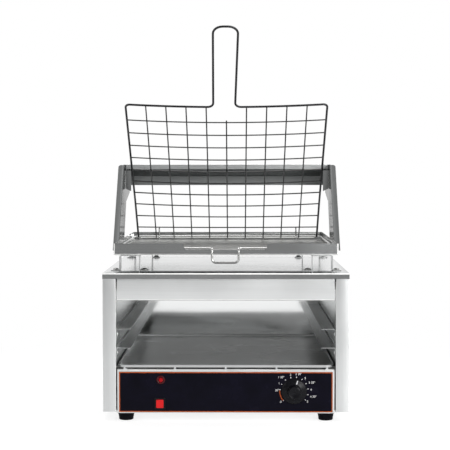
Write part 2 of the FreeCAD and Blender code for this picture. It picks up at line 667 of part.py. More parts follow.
# Timer: body behind the control panel, its shaft, and the knob outside.
T_HALF = "(timer_side / 2)"
BACK_OF_PANEL = "(-body_depth / 2 + panel_setback + sheet)"
timer = box(("knob_x - %s" % T_HALF, "knob_x + %s" % T_HALF),
            (BACK_OF_PANEL + " + seat_gap", BACK_OF_PANEL + " + seat_gap + timer_depth"),
            (up("knob_z - %s" % T_HALF), up("knob_z + %s" % T_HALF)))
timer_bore = cyl("knob_x", BACK_OF_PANEL + " - 1", up("knob_z"), "shaft_radius + run_gap",
                 "shaft_tail + 12", "y")
node("timer_body", less(timer, [timer_bore], "TimerBody"))
KNOB_BACK = "(" + FACE_Y + " - knob_gap)"
KNOB_FRONT = "(" + FACE_Y + " - knob_gap - skirt_thick - cap_length)"
node("timer_shaft", cyl("knob_x", KNOB_FRONT + " + cap_wall", up("knob_z"), "shaft_radius",
                        "cap_length + skirt_thick + shaft_tail", "y"))
knob = join([
    cone("0", KNOB_BACK + " - skirt_thick", "0", "skirt_radius - skirt_taper", "skirt_radius",
         "skirt_thick", "y"),
    cone("0", KNOB_FRONT + " + cap_edge", "0", "cap_radius - cap_taper", "cap_radius",
         "cap_length + cap_edge", "y"),
    cone("0", KNOB_FRONT, "0", "cap_radius - cap_taper - cap_edge", "cap_radius - cap_taper",
         "cap_edge", "y"),
    box(("-pointer_width / 2", "pointer_width / 2"),
        (KNOB_BACK + " - skirt_thick - pointer_rise", KNOB_BACK + " - pointer_rise"),
        ("cap_radius - cap_taper - cap_edge", "skirt_radius - skirt_taper - cap_edge")),
], "KnobShape")
knob_bore = cyl("0", KNOB_FRONT + " + cap_wall - seat_gap", "0", "shaft_radius + bore_gap",
                "cap_length + skirt_thick", "y")
turned = less(knob, [knob_bore], "Knob")
turned.Placement = FreeCAD.Placement(FreeCAD.Vector(), FreeCAD.Rotation(FreeCAD.Vector(0, 1, 0), 1.0))
turned.setExpression("Placement.Rotation.Angle", ex("knob_angle"))
move(turned, "knob_x", "0", up("knob_z"))
node("timer_knob", turned)

# Start button: red square cap sliding in its switch housing.
S_OUT = "(" + FACE_Y + " - switch_flange)"
housing = join([
    box(("button_x - %s - switch_wall" % BUTTON_W, "button_x + %s + switch_wall" % BUTTON_W),
        (S_OUT, FACE_Y),
        (up("button_z - %s - switch_wall" % BUTTON_H), up("button_z + %s + switch_wall" % BUTTON_H))),
    box(("button_x - %s" % BUTTON_W, "button_x + %s" % BUTTON_W), (S_OUT, FACE_Y + " + switch_depth"),
        (up("button_z - %s" % BUTTON_H), up("button_z + %s" % BUTTON_H))),
], "Housing")
well = box(("button_x - button_width / 2 - run_gap", "button_x + button_width / 2 + run_gap"),
           (S_OUT + " - 1", S_OUT + " + button_depth"),
           (up("button_z - button_height / 2 - run_gap"), up("button_z + button_height / 2 + run_gap")))
node("start_switch", less(housing, [well], "Switch"))
node("start_button", box(("button_x - button_width / 2", "button_x + button_width / 2"),
                         (S_OUT + " - button_out",
                          S_OUT + " + button_depth - button_travel - slide_gap"),
                         (up("button_z - button_height / 2"), up("button_z + button_height / 2")),
                         "Button"))

# Pilot lamp: chrome bezel with a neck through the panel, and its red lens.
bezel = join([
    cone("pilot_x", FACE_Y + " - bezel_thick", up("pilot_z"), "bezel_radius - bezel_taper",
         "bezel_radius", "bezel_thick", "y"),
    cyl("pilot_x", FACE_Y + " - 0.5", up("pilot_z"), "pilot_neck", "pilot_length", "y"),
], "BezelShape")
bezel_bore = cyl("pilot_x", FACE_Y + " - bezel_thick - 1", up("pilot_z"), "lens_radius + run_gap",
                 "lens_depth + 2", "y")
node("pilot_bezel", less(bezel, [bezel_bore], "Bezel"))
node("pilot_lens", join([
    cyl("pilot_x", FACE_Y + " - bezel_thick", up("pilot_z"), "lens_radius", "lens_depth", "y"),
    cone("pilot_x", FACE_Y + " - lens_height", up("pilot_z"), "lens_radius - lens_taper",
         "lens_radius", "lens_height - bezel_thick", "y"),
], "Lens"))

# Contactor and terminal block on the bottom plate, and the cable gland.
node("contactor", join([
    box(("contactor_x - contactor_half", "contactor_x + contactor_half"),
        ("contactor_y - contactor_length", "contactor_y"), (LOW + " + 0.1", up("contactor_height"))),
    box(("contactor_x - contactor_half + contactor_step", "contactor_x + contactor_half - contactor_step"),
        ("contactor_y - contactor_length + contactor_step", "contactor_y - contactor_step"),
        (up("contactor_height"), up("contactor_height + contactor_cap"))),
], "Contactor"))
node("terminal_block", join([
    box(("terminal_x - terminal_half", "terminal_x + terminal_half"),
        ("terminal_y - terminal_length", "terminal_y"), (LOW + " + 0.1", up("terminal_base"))),
    box(("terminal_x - terminal_half + terminal_step", "terminal_x + terminal_half - terminal_step"),
        ("terminal_y - terminal_length + 2 * terminal_step", "terminal_y - 2 * terminal_step"),
        (up("terminal_base"), up("terminal_top"))),
], "Terminals"))
gland = join([
    cyl("gland_x", REAR_IN + " - sheet - 14", up("gland_z"), "gland_radius", "sheet + 26", "y"),
    cyl("gland_x", REAR_IN, up("gland_z"), "gland_nut", "5", "y"),
    cyl("gland_x", REAR_IN + " - sheet - 6", up("gland_z"), "gland_nut", "6", "y"),
    cone("gland_x", REAR_IN + " + 5", up("gland_z"), "gland_nut - 1", "gland_radius - 1", "10", "y"),
], "GlandShape")
gland_hole = cyl("gland_x", REAR_IN + " - sheet - 15", up("gland_z"), "gland_bore", "sheet + 40", "y")
node("cable_gland", less(gland, [gland_hole], "Gland"))

# Feet: rubber, tapering down, each held by one screw from below.
FOOT_H = "(base_height - sheet - seat_gap)"
foot_screws = []
for sx, sy in foot_at:
    x = "%d * foot_x" % sx
    y = "%d * foot_y" % sy
    body = join([
        cone(x, y, "0", "foot_low_radius - foot_chamfer", "foot_low_radius", "foot_chamfer"),
        cone(x, y, "foot_chamfer", "foot_low_radius", "foot_radius", FOOT_H + " - foot_chamfer"),
    ], "FootShape")
    drill = [
        cyl(x, y, "-1", "head_radius + hole_gap", "foot_recess + 1"),
        cyl(x, y, "-1", "screw_radius + hole_gap", "base_height + 2"),
    ]
    label = "foot_%s_%s" % ("front" if sy < 0 else "rear", "left" if sx < 0 else "right")
    node(label, less(body, drill, "Foot"))
    foot_screws.append(join([
        cyl(x, y, "foot_recess - head_height", "head_radius", "head_height"),
        cyl(x, y, "foot_recess - 1", "screw_radius", "base_height - foot_recess + 4"),
    ], "FootScrew"))
node("foot_screws", group(foot_screws, "FootScrews"))

# Hat brackets that carry the tray: a strip bent up, across and down again.
bracket_screws = []
tray_screws = []
for s, end, x, y in HATS:
    hat = [
        ("-hat_half - hat_foot", "0"),
        ("-hat_half - hat_foot", "hat_sheet"),
        ("-hat_half", "hat_sheet"),
        ("-hat_half", "hat_height"),
        ("hat_half", "hat_height"),
        ("hat_half", "hat_sheet"),
        ("hat_half + hat_foot", "hat_sheet"),
        ("hat_half + hat_foot", "0"),
        ("hat_half - hat_sheet", "0"),
        ("hat_half - hat_sheet", "hat_height - hat_sheet"),
        ("-hat_half + hat_sheet", "hat_height - hat_sheet"),
        ("-hat_half + hat_sheet", "0"),
    ]
    strip = folded("Hat", "XZ_Plane", hat, "hat_depth", (x, "%s + hat_depth / 2" % y, TOP))
    drill = [cyl(x, y, HAT_TOP + " - hat_sheet - 1", "screw_radius + hole_gap", "hat_sheet + 2")]
    for t in (-1, 1):
        at = "%s + %d * hat_screw" % (x, t)
        drill.append(cyl(at, y, TOP + " - 1", "screw_radius + hole_gap", "hat_sheet + 2"))
        bracket_screws.append(join([
            cone(at, y, TOP + " + hat_sheet", "bracket_head", "bracket_head - head_taper", "head_height"),
            cyl(at, y, TOP + " + hat_sheet - screw_length", "screw_radius", "screw_length + 0.5"),
        ], "BracketScrew"))
    node("bracket_%s_%s" % (end, "left" if s < 0 else "right"), less(strip, drill, "Bracket"))
    tray_screws.append(join([
        cone(x, y, TRAY_FLOOR, "head_radius", "head_radius - head_taper", "low_head"),
        cyl(x, y, TRAY_FLOOR + " - screw_length", "screw_radius", "screw_length + 0.5"),
    ], "TrayScrew"))
node("bracket_screws", group(bracket_screws, "BracketScrews"))
node("tray_screws", group(tray_screws, "TrayScrews"))

# Tray on top: folded pan with a low strip across the front for the handles.
TRAY_TOP = "(%s + tray_wall)" % HAT_TOP
STRIP = "(%s + notch_wall)" % HAT_TOP
outer = box(("-tray_half", "tray_half"), ("tray_front", "tray_back"), (HAT_TOP, TRAY_TOP))
tray_cuts = [
    box(("-tray_half + sheet", "tray_half - sheet"), ("tray_front + sheet", "tray_back - sheet"),
        (TRAY_FLOOR, TRAY_TOP + " + 5")),
    box(("notch_left", "notch_right"), ("tray_front - 1", "tray_front + sheet + 1"),
        (STRIP + " + notch_radius", TRAY_TOP + " + 5")),
    box(("notch_left + notch_radius", "notch_right - notch_radius"),
        ("tray_front - 1", "tray_front + sheet + 1"), (STRIP, TRAY_TOP + " + 5")),
]
for x in ("notch_left + notch_radius", "notch_right - notch_radius"):
    tray_cuts.append(cyl(x, "tray_front - 1", STRIP + " + notch_radius", "notch_radius", "sheet + 2", "y"))
for s, end, x, y in HATS:
    tray_cuts.append(cyl(x, y, HAT_TOP + " - 1", "screw_radius + hole_gap", "sheet + 2"))
ARM_SCREWS = [("arm_foot_y + %s" % place, up("arm_foot_z + arm_screw_z"))
              for place in ("arm_screw_a", "arm_screw_b")]
for y, z in ARM_SCREWS:
    for s in (-1, 1):
        tray_cuts.append(cyl("%d * (tray_half - sheet / 2) - 3" % s, y, z,
                             "screw_radius + hole_gap", "6", "x"))
node("tray", less(outer, tray_cuts, "Tray"))

# Arms: slanted webs on the tray's sides with a flange turned outward.
ARM_IN = "(tray_half + seat_gap)"
ARM_OUT = "(tray_half + seat_gap + sheet)"
ARM_TOP_Y = "(arm_foot_y + arm_length * cos(arm_slope))"
ARM_TOP_Z = "(arm_foot_z + arm_length * sin(arm_slope))"
CHANNEL_SCREWS = [(place, up("channel_top - channel_screw"))
                  for place in ("channel_front + channel_screw_in", "channel_back - channel_screw_in")]
HOOK_SCREW = ("hook_y + hook_screw", up("(hook_bottom + hook_top) / 2"))
ARM_REAR_Y = "(arm_foot_y + arm_rear_y)"
for s, hand in ((-1, "left"), (1, "right")):
    web_points = [
        ("arm_foot_y", up("arm_foot_z")),
        (ARM_TOP_Y, up(ARM_TOP_Z)),
        (ARM_REAR_Y, up(ARM_TOP_Z)),
        (ARM_REAR_Y, up("arm_foot_z + arm_rear_z")),
        ("arm_foot_y + arm_knee_y", up("arm_foot_z + arm_knee_z")),
        ("arm_foot_y + arm_width", up("arm_foot_z")),
    ]
    start = ARM_IN if s > 0 else "-" + ARM_OUT
    web = folded("ArmWeb", "YZ_Plane", web_points, "sheet", (start, "0", "0"))
    flange = join([
        box(side(s, "0", "sheet + arm_flange"), ("0", "arm_length - arm_corner"), ("-sheet", "0")),
        box(side(s, "0", "sheet + arm_flange - arm_corner"), ("0", "arm_length"), ("-sheet", "0")),
        cyl("%d * (sheet + arm_flange - arm_corner)" % s, "arm_length - arm_corner", "-sheet",
            "arm_corner", "sheet"),
    ], "ArmFlange")
    slope = FreeCAD.Rotation(FreeCAD.Vector(1, 0, 0), VALUES["arm_slope"])
    flange.Placement = FreeCAD.Placement(FreeCAD.Vector(), slope)
    flange.setExpression("Placement.Rotation.Angle", ex("arm_slope"))
    move(flange, "%d * %s" % (s, ARM_IN), "arm_foot_y + sheet * sin(arm_slope)",
         up("arm_foot_z - sheet * cos(arm_slope)"))
    holes = []
    for y, z in ARM_SCREWS + CHANNEL_SCREWS + [HOOK_SCREW]:
        holes.append(cyl("%d * (%s + sheet / 2) - 3" % (s, ARM_IN), y, z,
                         "screw_radius + hole_gap", "6", "x"))
    node("arm_" + hand, less(join([web, flange]), holes, "Arm"))

# Cross channel between the arms, with a lip, a top and a hanging web.
CH_TOP = up("channel_top")
channel_points = [
    ("channel_front", up("channel_top - channel_lip")),
    ("channel_front", CH_TOP),
    ("channel_back", CH_TOP),
    ("channel_back", up("crease_high + 1")),
    ("channel_back - crease_depth", up("crease_high")),
    ("channel_back", up("crease_high - 1")),
    ("channel_back", up("channel_low")),
    ("channel_back - channel_hem", up("channel_low")),
    ("channel_back - channel_hem", up("channel_low + sheet")),
    ("channel_back - sheet", up("channel_low + sheet")),
    ("channel_back - sheet", up("crease_high - 1")),
    ("channel_back - sheet - crease_depth", up("crease_high")),
    ("channel_back - sheet", up("crease_high + 1")),
    ("channel_back - sheet", CH_TOP + " - sheet"),
    ("channel_front + sheet", CH_TOP + " - sheet"),
    ("channel_front + sheet", up("channel_top - channel_lip")),
]
beam = folded("ChannelBeam", "YZ_Plane", channel_points, "2 * tray_half", ("-tray_half", "0", "0"))
ends = [beam]
end_holes = []
for s in (-1, 1):
    ends.append(box(side(s, "tray_half - sheet", "tray_half"),
                    ("channel_front + channel_inset", "channel_back - channel_inset"),
                    (up("channel_top - channel_end"), CH_TOP)))
    for y, z in CHANNEL_SCREWS:
        end_holes.append(cyl("%d * (tray_half - sheet / 2) - 3" % s, y, z,
                             "screw_radius + hole_gap", "6", "x"))
node("cross_channel", less(join(ends), end_holes, "CrossChannel"))

# Hooks: small angles on the arms, beside the wires of the raised lid.
for s, hand in ((-1, "left"), (1, "right")):
    plate = [
        ("%d * tray_half" % s, up("hook_bottom + hook_slant")),
        ("%d * tray_half" % s, up("hook_top")),
        ("%d * hook_reach" % s, up("hook_top")),
        ("%d * hook_reach" % s, up("hook_bottom")),
    ]
    front = folded("HookPlate", "XZ_Plane", plate, "sheet", ("0", "hook_y + sheet", "0"))
    leg = box(side(s, "tray_half - sheet", "tray_half"), ("hook_y", "hook_y + hook_leg"),
              (up("hook_bottom + hook_leg_low"), up("hook_top - hook_leg_high")))
    y, z = HOOK_SCREW
    hole = cyl("%d * (tray_half - sheet / 2) - 3" % s, y, z, "screw_radius + hole_gap", "6", "x")
    node("hook_" + hand, less(join([front, leg]), [hole], "Hook"))


def side_screw(s, y, z, length="screw_length"):
    # screw driven inward through an arm, its head on the arm's outer face
    head = cone(ARM_OUT, y, z, "head_radius", "head_radius - head_taper", "head_height", "x")
    stem_x = "%s - %s" % (ARM_OUT, length)
    if s < 0:
        head = cone("-%s - head_height" % ARM_OUT, y, z, "head_radius - head_taper", "head_radius",
                    "head_height", "x")
        stem_x = "-%s - 0.5" % ARM_OUT
    stem = cyl(stem_x, y, z, "screw_radius", "%s + 0.5" % length, "x")
    return join([head, stem], "SideScrew")


arm_screws = [side_screw(s, y, z, "short_screw") for s in (-1, 1) for y, z in ARM_SCREWS]
node("arm_screws", group(arm_screws, "ArmScrews"))
channel_screws = [side_screw(s, y, z) for s in (-1, 1) for y, z in CHANNEL_SCREWS]
node("channel_screws", group(channel_screws, "ChannelScrews"))
node("hook_screws", group([side_screw(s, *HOOK_SCREW) for s in (-1, 1)], "HookScrews"))
panel_screws = []
for x, z in PANEL_SCREWS:
    head = cone(x, REAR_Y, z, "head_radius", "head_radius - head_taper", "low_head", "y")
    stem = cyl(x, REAR_Y + " + 0.5 - screw_length", z, "screw_radius", "screw_length", "y")
    panel_screws.append(join([head, stem], "PanelScrew"))
node("panel_screws", group(panel_screws, "PanelScrews"))

# Wire basket in the tray: crossed wires with ends bent up to a rim, and the
# rim bent forward and down over the strip as a grip.
d = {name: num(name) for name in (
    "rim_half", "rim_radius", "rim_front", "rim_back", "rim_corner", "rack_wire", "rack_pitch",
    "rack_first", "rack_last", "rack_bend", "rack_pairs", "column_pitch", "weld_bite", "wire_lift",
    "grip_left", "grip_right", "grip_front", "grip_bend")}
rim_z = num(STRIP) + d["wire_lift"] + d["rim_radius"]
low_z = num(TRAY_FLOOR) + d["wire_lift"] + d["rack_wire"]
high_z = low_z + 2 * d["rack_wire"] - d["weld_bite"]
grip_z = num(up("grip_low"))
rim_path = [
    (-d["rim_half"], d["rim_back"], rim_z),
    (-d["rim_half"], d["rim_front"], rim_z),
    (d["grip_left"], d["rim_front"], rim_z),
    (d["grip_left"], d["grip_front"], rim_z),
    (d["grip_left"], d["grip_front"], grip_z),
    (d["grip_right"], d["grip_front"], grip_z),
    (d["grip_right"], d["grip_front"], rim_z),
    (d["grip_right"], d["rim_front"], rim_z),
    (d["rim_half"], d["rim_front"], rim_z),
    (d["rim_half"], d["rim_back"], rim_z),
]
rim_bends = [d["rim_corner"]] * 2 + [d["grip_bend"]] * 6 + [d["rim_corner"]] * 2
basket = [wire_rod(rim_path, d["rim_radius"], rim_bends, closed=True)]


def middle_out(pitch, pairs):
    # places at this pitch on both sides of the middle
    return [k * pitch for k in range(-int(pairs), int(pairs) + 1)]


def run_on(first, last, pitch):
    places = [first]
    while places[-1] + pitch < last:
        places.append(places[-1] + pitch)
    return places


rows = run_on(d["rim_front"] + d["rack_first"], d["rim_back"] - d["rack_last"], d["rack_pitch"])
for x in middle_out(d["column_pitch"], d["rack_pairs"]):
    path = [(x, d["rim_front"], rim_z), (x, d["rim_front"], low_z), (x, d["rim_back"], low_z),
            (x, d["rim_back"], rim_z)]
    bends = [0, d["rack_bend"], d["rack_bend"], 0]
    if d["grip_left"] < x < d["grip_right"]:
        # the wire behind the grip starts at the first crossing
        path = [(x, rows[0] - d["rim_radius"], low_z)] + path[2:]
        bends = bends[1:]
    basket.append(wire_rod(path, d["rack_wire"], bends))
for y in rows:
    path = [(-d["rim_half"], y, rim_z), (-d["rim_half"], y, high_z), (d["rim_half"], y, high_z),
            (d["rim_half"], y, rim_z)]
    basket.append(wire_rod(path, d["rack_wire"], [0, d["rack_bend"], d["rack_bend"], 0]))
node("rack", feature("Rack", basket[0].multiFuse(basket[1:])))

# Lid of wire, drawn flat with its hinge wire on the origin, then raised.
g = {name: num(name) for name in (
    "lid_half", "lid_length", "lid_wire", "mesh_wire", "mesh_pitch", "mesh_first", "mesh_last",
    "lid_corner", "handle_reach", "handle_left", "handle_right", "handle_half", "handle_bend",
    "handle_corner", "weld_bite")}
frame_path = [
    (-g["lid_half"], 0, 0),
    (g["lid_half"], 0, 0),
    (g["lid_half"], -g["lid_length"], 0),
    (g["handle_right"], -g["lid_length"], 0),
    (g["handle_half"], -g["handle_reach"], 0),
    (-g["handle_half"], -g["handle_reach"], 0),
    (g["handle_left"], -g["lid_length"], 0),
    (-g["lid_half"], -g["lid_length"], 0),
]
frame_bends = [g["lid_corner"]] * 3 + [g["handle_bend"]]
frame_bends += [g["handle_corner"]] * 2 + [g["handle_bend"], g["lid_corner"]]
mesh = [wire_rod(frame_path, g["lid_wire"], frame_bends, closed=True)]
offset = g["mesh_wire"] - g["weld_bite"] / 2
mesh_rows = run_on(g["mesh_first"], g["lid_length"] - g["mesh_last"], g["mesh_pitch"])
for along in mesh_rows:
    mesh.append(rod((-g["lid_half"], -along, -offset), (g["lid_half"], -along, -offset), g["mesh_wire"]))
for x in middle_out(g["mesh_pitch"], (g["lid_half"] - g["mesh_last"]) // g["mesh_pitch"]):
    reach = g["lid_length"] if x else mesh_rows[-1] + g["lid_wire"]
    mesh.append(rod((x, 0, offset), (x, -reach, offset), g["mesh_wire"]))
lid = feature("Lid", mesh[0].multiFuse(mesh[1:]))
lid.Placement = FreeCAD.Placement(
    FreeCAD.Vector(0, num("hinge_y"), num(up("hinge_z"))),
    FreeCAD.Rotation(FreeCAD.Vector(1, 0, 0), -num("lid_angle")))
node("lid_grid", lid)

# Hinge loops: wire eyes round the lid's hinge wire, with a leg under the rim.
for s, hand in ((-1, "left"), (1, "right")):
    ring = doc.addObject("Part::Torus", "Eye")
    ring.Placement = FreeCAD.Placement(FreeCAD.Vector(), TURN["x"])
    ring.setExpression("Radius1", ex("lid_wire + run_gap + loop_wire"))
    ring.setExpression("Radius2", ex("loop_wire"))
    move(ring, "%d * loop_x" % s, "hinge_y", up("hinge_z"))
    behind = "hinge_y + lid_wire + run_gap + loop_wire"
    leg_z = "(%s + wire_lift - loop_wire - loop_gap)" % STRIP
    leg = cyl("%d * loop_x" % s, behind, leg_z, "loop_wire", "loop_leg", "y")
    tail = cyl("%d * loop_x" % s, behind, up("hinge_z"), "loop_wire - loop_gap", "loop_tail")
    node("hinge_loop_" + hand, join([ring, leg, tail], "HingeLoop"))

# Every node is moved from the cabinet's middle to the common origin.
for obj in NODES.values():
    bound = {path.lstrip("."): text for path, text in obj.ExpressionEngine}
    placed = bound.get("Placement.Base.y", repr(obj.Placement.Base.y))
    obj.setExpression("Placement.Base.y", "%s - Dims.origin_y" % placed)

doc.recompute()
bad = []
for obj in doc.Objects:
    if "Invalid" in obj.State or "Error" in obj.State:
        bad.append(obj.Name)
for label, obj in NODES.items():
    if obj.Shape.isNull() or not obj.Shape.isValid():
        bad.append(label)
if bad:
    raise RuntimeError("faulty: " + ", ".join(bad))

os.makedirs("parts", exist_ok=True)
for label, obj in NODES.items():
    obj.Shape.exportStep("parts/%s.step" % label)
    box_ = obj.Shape.BoundBox
    print("%-20s solids %2d  vol %10.1f  x %7.1f %7.1f  y %7.1f %7.1f  z %6.1f %6.1f" % (
        label, len(obj.Shape.Solids), obj.Shape.Volume,
        box_.XMin, box_.XMax, box_.YMin, box_.YMax, box_.ZMin, box_.ZMax))
print(len(NODES), "nodes")
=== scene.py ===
import json
import math
import bmesh
import bpy
from mathutils import Matrix, Vector


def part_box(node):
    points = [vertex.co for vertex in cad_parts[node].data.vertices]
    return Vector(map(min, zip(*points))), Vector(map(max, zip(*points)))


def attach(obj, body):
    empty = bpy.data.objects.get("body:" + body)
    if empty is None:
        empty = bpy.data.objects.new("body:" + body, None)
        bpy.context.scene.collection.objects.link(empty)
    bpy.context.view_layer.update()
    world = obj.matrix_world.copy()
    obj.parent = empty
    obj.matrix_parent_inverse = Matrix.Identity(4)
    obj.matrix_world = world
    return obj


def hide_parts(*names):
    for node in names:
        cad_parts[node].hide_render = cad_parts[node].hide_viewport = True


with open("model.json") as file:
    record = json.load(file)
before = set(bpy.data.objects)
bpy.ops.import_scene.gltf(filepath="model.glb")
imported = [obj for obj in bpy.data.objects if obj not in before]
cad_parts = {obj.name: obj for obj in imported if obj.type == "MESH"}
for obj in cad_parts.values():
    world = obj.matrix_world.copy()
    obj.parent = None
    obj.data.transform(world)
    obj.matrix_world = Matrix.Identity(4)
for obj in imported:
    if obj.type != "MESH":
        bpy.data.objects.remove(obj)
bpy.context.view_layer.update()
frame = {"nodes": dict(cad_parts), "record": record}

# The studio: a pale floor that fades to white, a white backdrop behind the
# object, a dim room in front that polished steel mirrors, and soft lamps.
scene = bpy.context.scene
scene.view_settings.view_transform = "Standard"


def node_tools(tree):
    # makes a shader or geometry node, and joins it to what feeds it
    def make(kind, feeds=None, **settings):
        made = tree.nodes.new(kind)
        for name, value in settings.items():
            setattr(made, name, value)
        for socket, value in (feeds or {}).items():
            if isinstance(value, bpy.types.NodeSocket):
                tree.links.new(value, made.inputs[socket])
            else:
                made.inputs[socket].default_value = value
        return made
    return make


def seen_directly(make):
    # 1 for rays that show the background, straight or in metal or glass
    rays = make("ShaderNodeLightPath")
    either = make("ShaderNodeMath", {0: rays.outputs["Is Camera Ray"],
                                     1: rays.outputs["Is Glossy Ray"]}, operation="MAXIMUM")
    return make("ShaderNodeMath", {0: either.outputs[0], 1: rays.outputs["Is Transmission Ray"]},
                operation="MAXIMUM").outputs[0]


world = bpy.data.worlds.new("Studio")
scene.world = world
world.use_nodes = True
world.node_tree.nodes.clear()
make = node_tools(world.node_tree)
room_level, daylight = 0.34, 0.55
heading = make("ShaderNodeTexCoord")
parts_of = make("ShaderNodeSeparateXYZ", {0: heading.outputs["Generated"]})
behind = make("ShaderNodeMapRange", {"Value": parts_of.outputs["Y"], "From Min": -0.35,
                                     "From Max": 0.45, "To Min": room_level, "To Max": 1.0},
              interpolation_type="SMOOTHSTEP")
camera_ray = make("ShaderNodeLightPath").outputs["Is Camera Ray"]
backdrop = make("ShaderNodeMath", {0: behind.outputs[0], 1: camera_ray}, operation="MAXIMUM")
shown = make("ShaderNodeBackground", {"Color": (1, 1, 1, 1), "Strength": backdrop.outputs[0]})
lit = make("ShaderNodeBackground", {"Color": (1, 1, 1, 1), "Strength": daylight})
sky = make("ShaderNodeMixShader", {0: seen_directly(make), 1: lit.outputs[0],
                                   2: shown.outputs[0]})
make("ShaderNodeOutputWorld", {"Surface": sky.outputs[0]})

floor_mesh = bpy.data.meshes.new("Floor")
floor_mesh.from_pydata([(-9, -2.4, 0), (9, -2.4, 0), (9, 9, 0), (-9, 9, 0)], [], [(0, 1, 2, 3)])
floor = bpy.data.objects.new("Floor", floor_mesh)
scene.collection.objects.link(floor)
pale = bpy.data.materials.new("PaleFloor")
pale.use_nodes = True
pale.node_tree.nodes.clear()
make = node_tools(pale.node_tree)
spot = make("ShaderNodeTexCoord")
away = make("ShaderNodeVectorMath", {0: spot.outputs["Object"]}, operation="LENGTH")
far = make("ShaderNodeMapRange", {"Value": away.outputs["Value"], "From Min": 0.30,
                                  "From Max": 0.85}, interpolation_type="SMOOTHSTEP")
matt = make("ShaderNodeBsdfDiffuse", {"Color": (0.42, 0.42, 0.42, 1)})
shown_floor = seen_directly(make)
lift = make("ShaderNodeMath", {0: shown_floor, 1: 0.70}, operation="MULTIPLY")
glow = make("ShaderNodeEmission", {"Color": (1, 1, 1, 1), "Strength": lift.outputs[0]})
near = make("ShaderNodeAddShader", {0: matt.outputs[0], 1: glow.outputs[0]})
plain = make("ShaderNodeEmission", {"Color": (1, 1, 1, 1), "Strength": 1.0})
blend = make("ShaderNodeMath", {0: far.outputs[0], 1: shown_floor}, operation="MULTIPLY")
surface = make("ShaderNodeMixShader", {0: blend.outputs[0], 1: near.outputs[0],
                                       2: plain.outputs[0]})
make("ShaderNodeOutputMaterial", {"Surface": surface.outputs[0]})
floor_mesh.materials.append(pale)

for lamp_name, place, aim, size, power in (
        ("LampAbove", (0.2, 1.2, 2.8), (0.0, 0.0, 0.3), 2.0, 44.0),
        ("LampRight", (2.3, -1.4, 1.3), (0.0, 0.0, 0.3), 1.6, 29.0),
        ("LampFront", (1.7, -3.0, 1.0), (0.0, 0.0, 0.2), 1.2, 46.0),
        ("LampLeft", (-2.4, -1.2, 1.4), (0.0, 0.0, 0.3), 1.6, 12.0)):
    lamp = bpy.data.lights.new(lamp_name, "AREA")
    lamp.shape = "SQUARE"
    lamp.size = size
    lamp.energy = power
    lamp_object = bpy.data.objects.new(lamp_name, lamp)
    lamp_object.location = place
    lamp_object.rotation_euler = (Vector(aim) - Vector(place)).to_track_quat("-Z", "Y").to_euler()
    scene.collection.objects.link(lamp_object)

# The camera stands in front, a little above the raised lid's middle, and
# looks almost level; its lens and shift are those of the photograph.
picture_side, film_width = 450.0, 36.0
focal, centre_x, centre_y = 1330.0, 217.18, 238.13
yaw, pitch, roll = 0.0143, -0.0505, 0.0007
middle_to_front, foot_height = 239.0, 16.0
eye = Vector((17.757, -2251.80 - middle_to_front, 411.04 + foot_height)) / 1000.0
camera = bpy.data.cameras.new("View")
camera.sensor_width = film_width
camera.lens = focal * film_width / picture_side
camera.shift_x = (picture_side / 2 - centre_x) / picture_side
camera.shift_y = (centre_y - picture_side / 2) / picture_side
camera.clip_end = 50.0
camera_object = bpy.data.objects.new("View", camera)
turn = Matrix.Rotation(yaw, 4, "Z") @ Matrix.Rotation(pitch, 4, "X") @ Matrix.Rotation(roll, 4, "Y")
camera_object.matrix_world = Matrix.Translation(eye) @ turn @ Matrix.Rotation(math.pi / 2, 4, "X")
scene.collection.objects.link(camera_object)
scene.camera = camera_object


# Brushed panels: stainless sheet 1.2 mm thick, satin ground along its length,
# cut, folded on a press with small outside radii, and riveted or screwed.
def steel(name, tone, rough, grain=(900, 900, 6), mottle=0.06, bump=0.02, wave=0.0,
          metal=1.0, rim=1.0):
    faint, strong = 0.6, 1.4
    material = bpy.data.materials.new(name)
    material.use_nodes = True
    make = node_tools(material.node_tree)
    bsdf = material.node_tree.nodes["Principled BSDF"]
    bsdf.inputs["Metallic"].default_value = metal
    bsdf.inputs["Specular Tint"].default_value = (rim, rim, rim, 1.0)
    spot = make("ShaderNodeTexCoord")
    along = make("ShaderNodeMapping", {"Vector": spot.outputs["Object"], "Scale": grain})
    lines = make("ShaderNodeTexNoise", {"Vector": along.outputs[0], "Scale": 1.0, "Detail": 5.0})
    cloud = make("ShaderNodeTexNoise", {"Vector": spot.outputs["Object"], "Scale": 14.0,
                                        "Detail": 3.0})
    mixed = make("ShaderNodeMath", {0: lines.outputs["Fac"], 1: cloud.outputs["Fac"]},
                 operation="ADD")
    shade = make("ShaderNodeMapRange", {"Value": mixed.outputs[0], "From Min": faint,
                                        "From Max": strong, "To Min": 1.0 - mottle,
                                        "To Max": 1.0 + mottle})
    tint = make("ShaderNodeMix", {0: 1.0, 6: (*tone, 1.0), 7: shade.outputs[0]},
                data_type="RGBA", blend_type="MULTIPLY")
    material.node_tree.links.new(tint.outputs[2], bsdf.inputs["Base Color"])
    gloss = make("ShaderNodeMapRange", {"Value": mixed.outputs[0], "From Min": faint,
                                        "From Max": strong, "To Min": rough * 0.8,
                                        "To Max": rough * 1.2})
    material.node_tree.links.new(gloss.outputs[0], bsdf.inputs["Roughness"])
    relief = make("ShaderNodeBump", {"Strength": bump, "Distance": 0.0002,
                                     "Height": lines.outputs["Fac"]})
    if wave:
        # sheet that was rolled and polished by hand is never quite flat
        swell = make("ShaderNodeTexNoise", {"Vector": spot.outputs["Object"], "Scale": 5.0,
                                            "Detail": 1.0})
        relief = make("ShaderNodeBump", {"Strength": 1.0, "Distance": wave,
                                         "Height": swell.outputs["Fac"],
                                         "Normal": relief.outputs[0]})
    material.node_tree.links.new(relief.outputs[0], bsdf.inputs["Normal"])
    return material


def stands_for(piece, body, *names):
    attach(piece, body)
    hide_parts(*names)


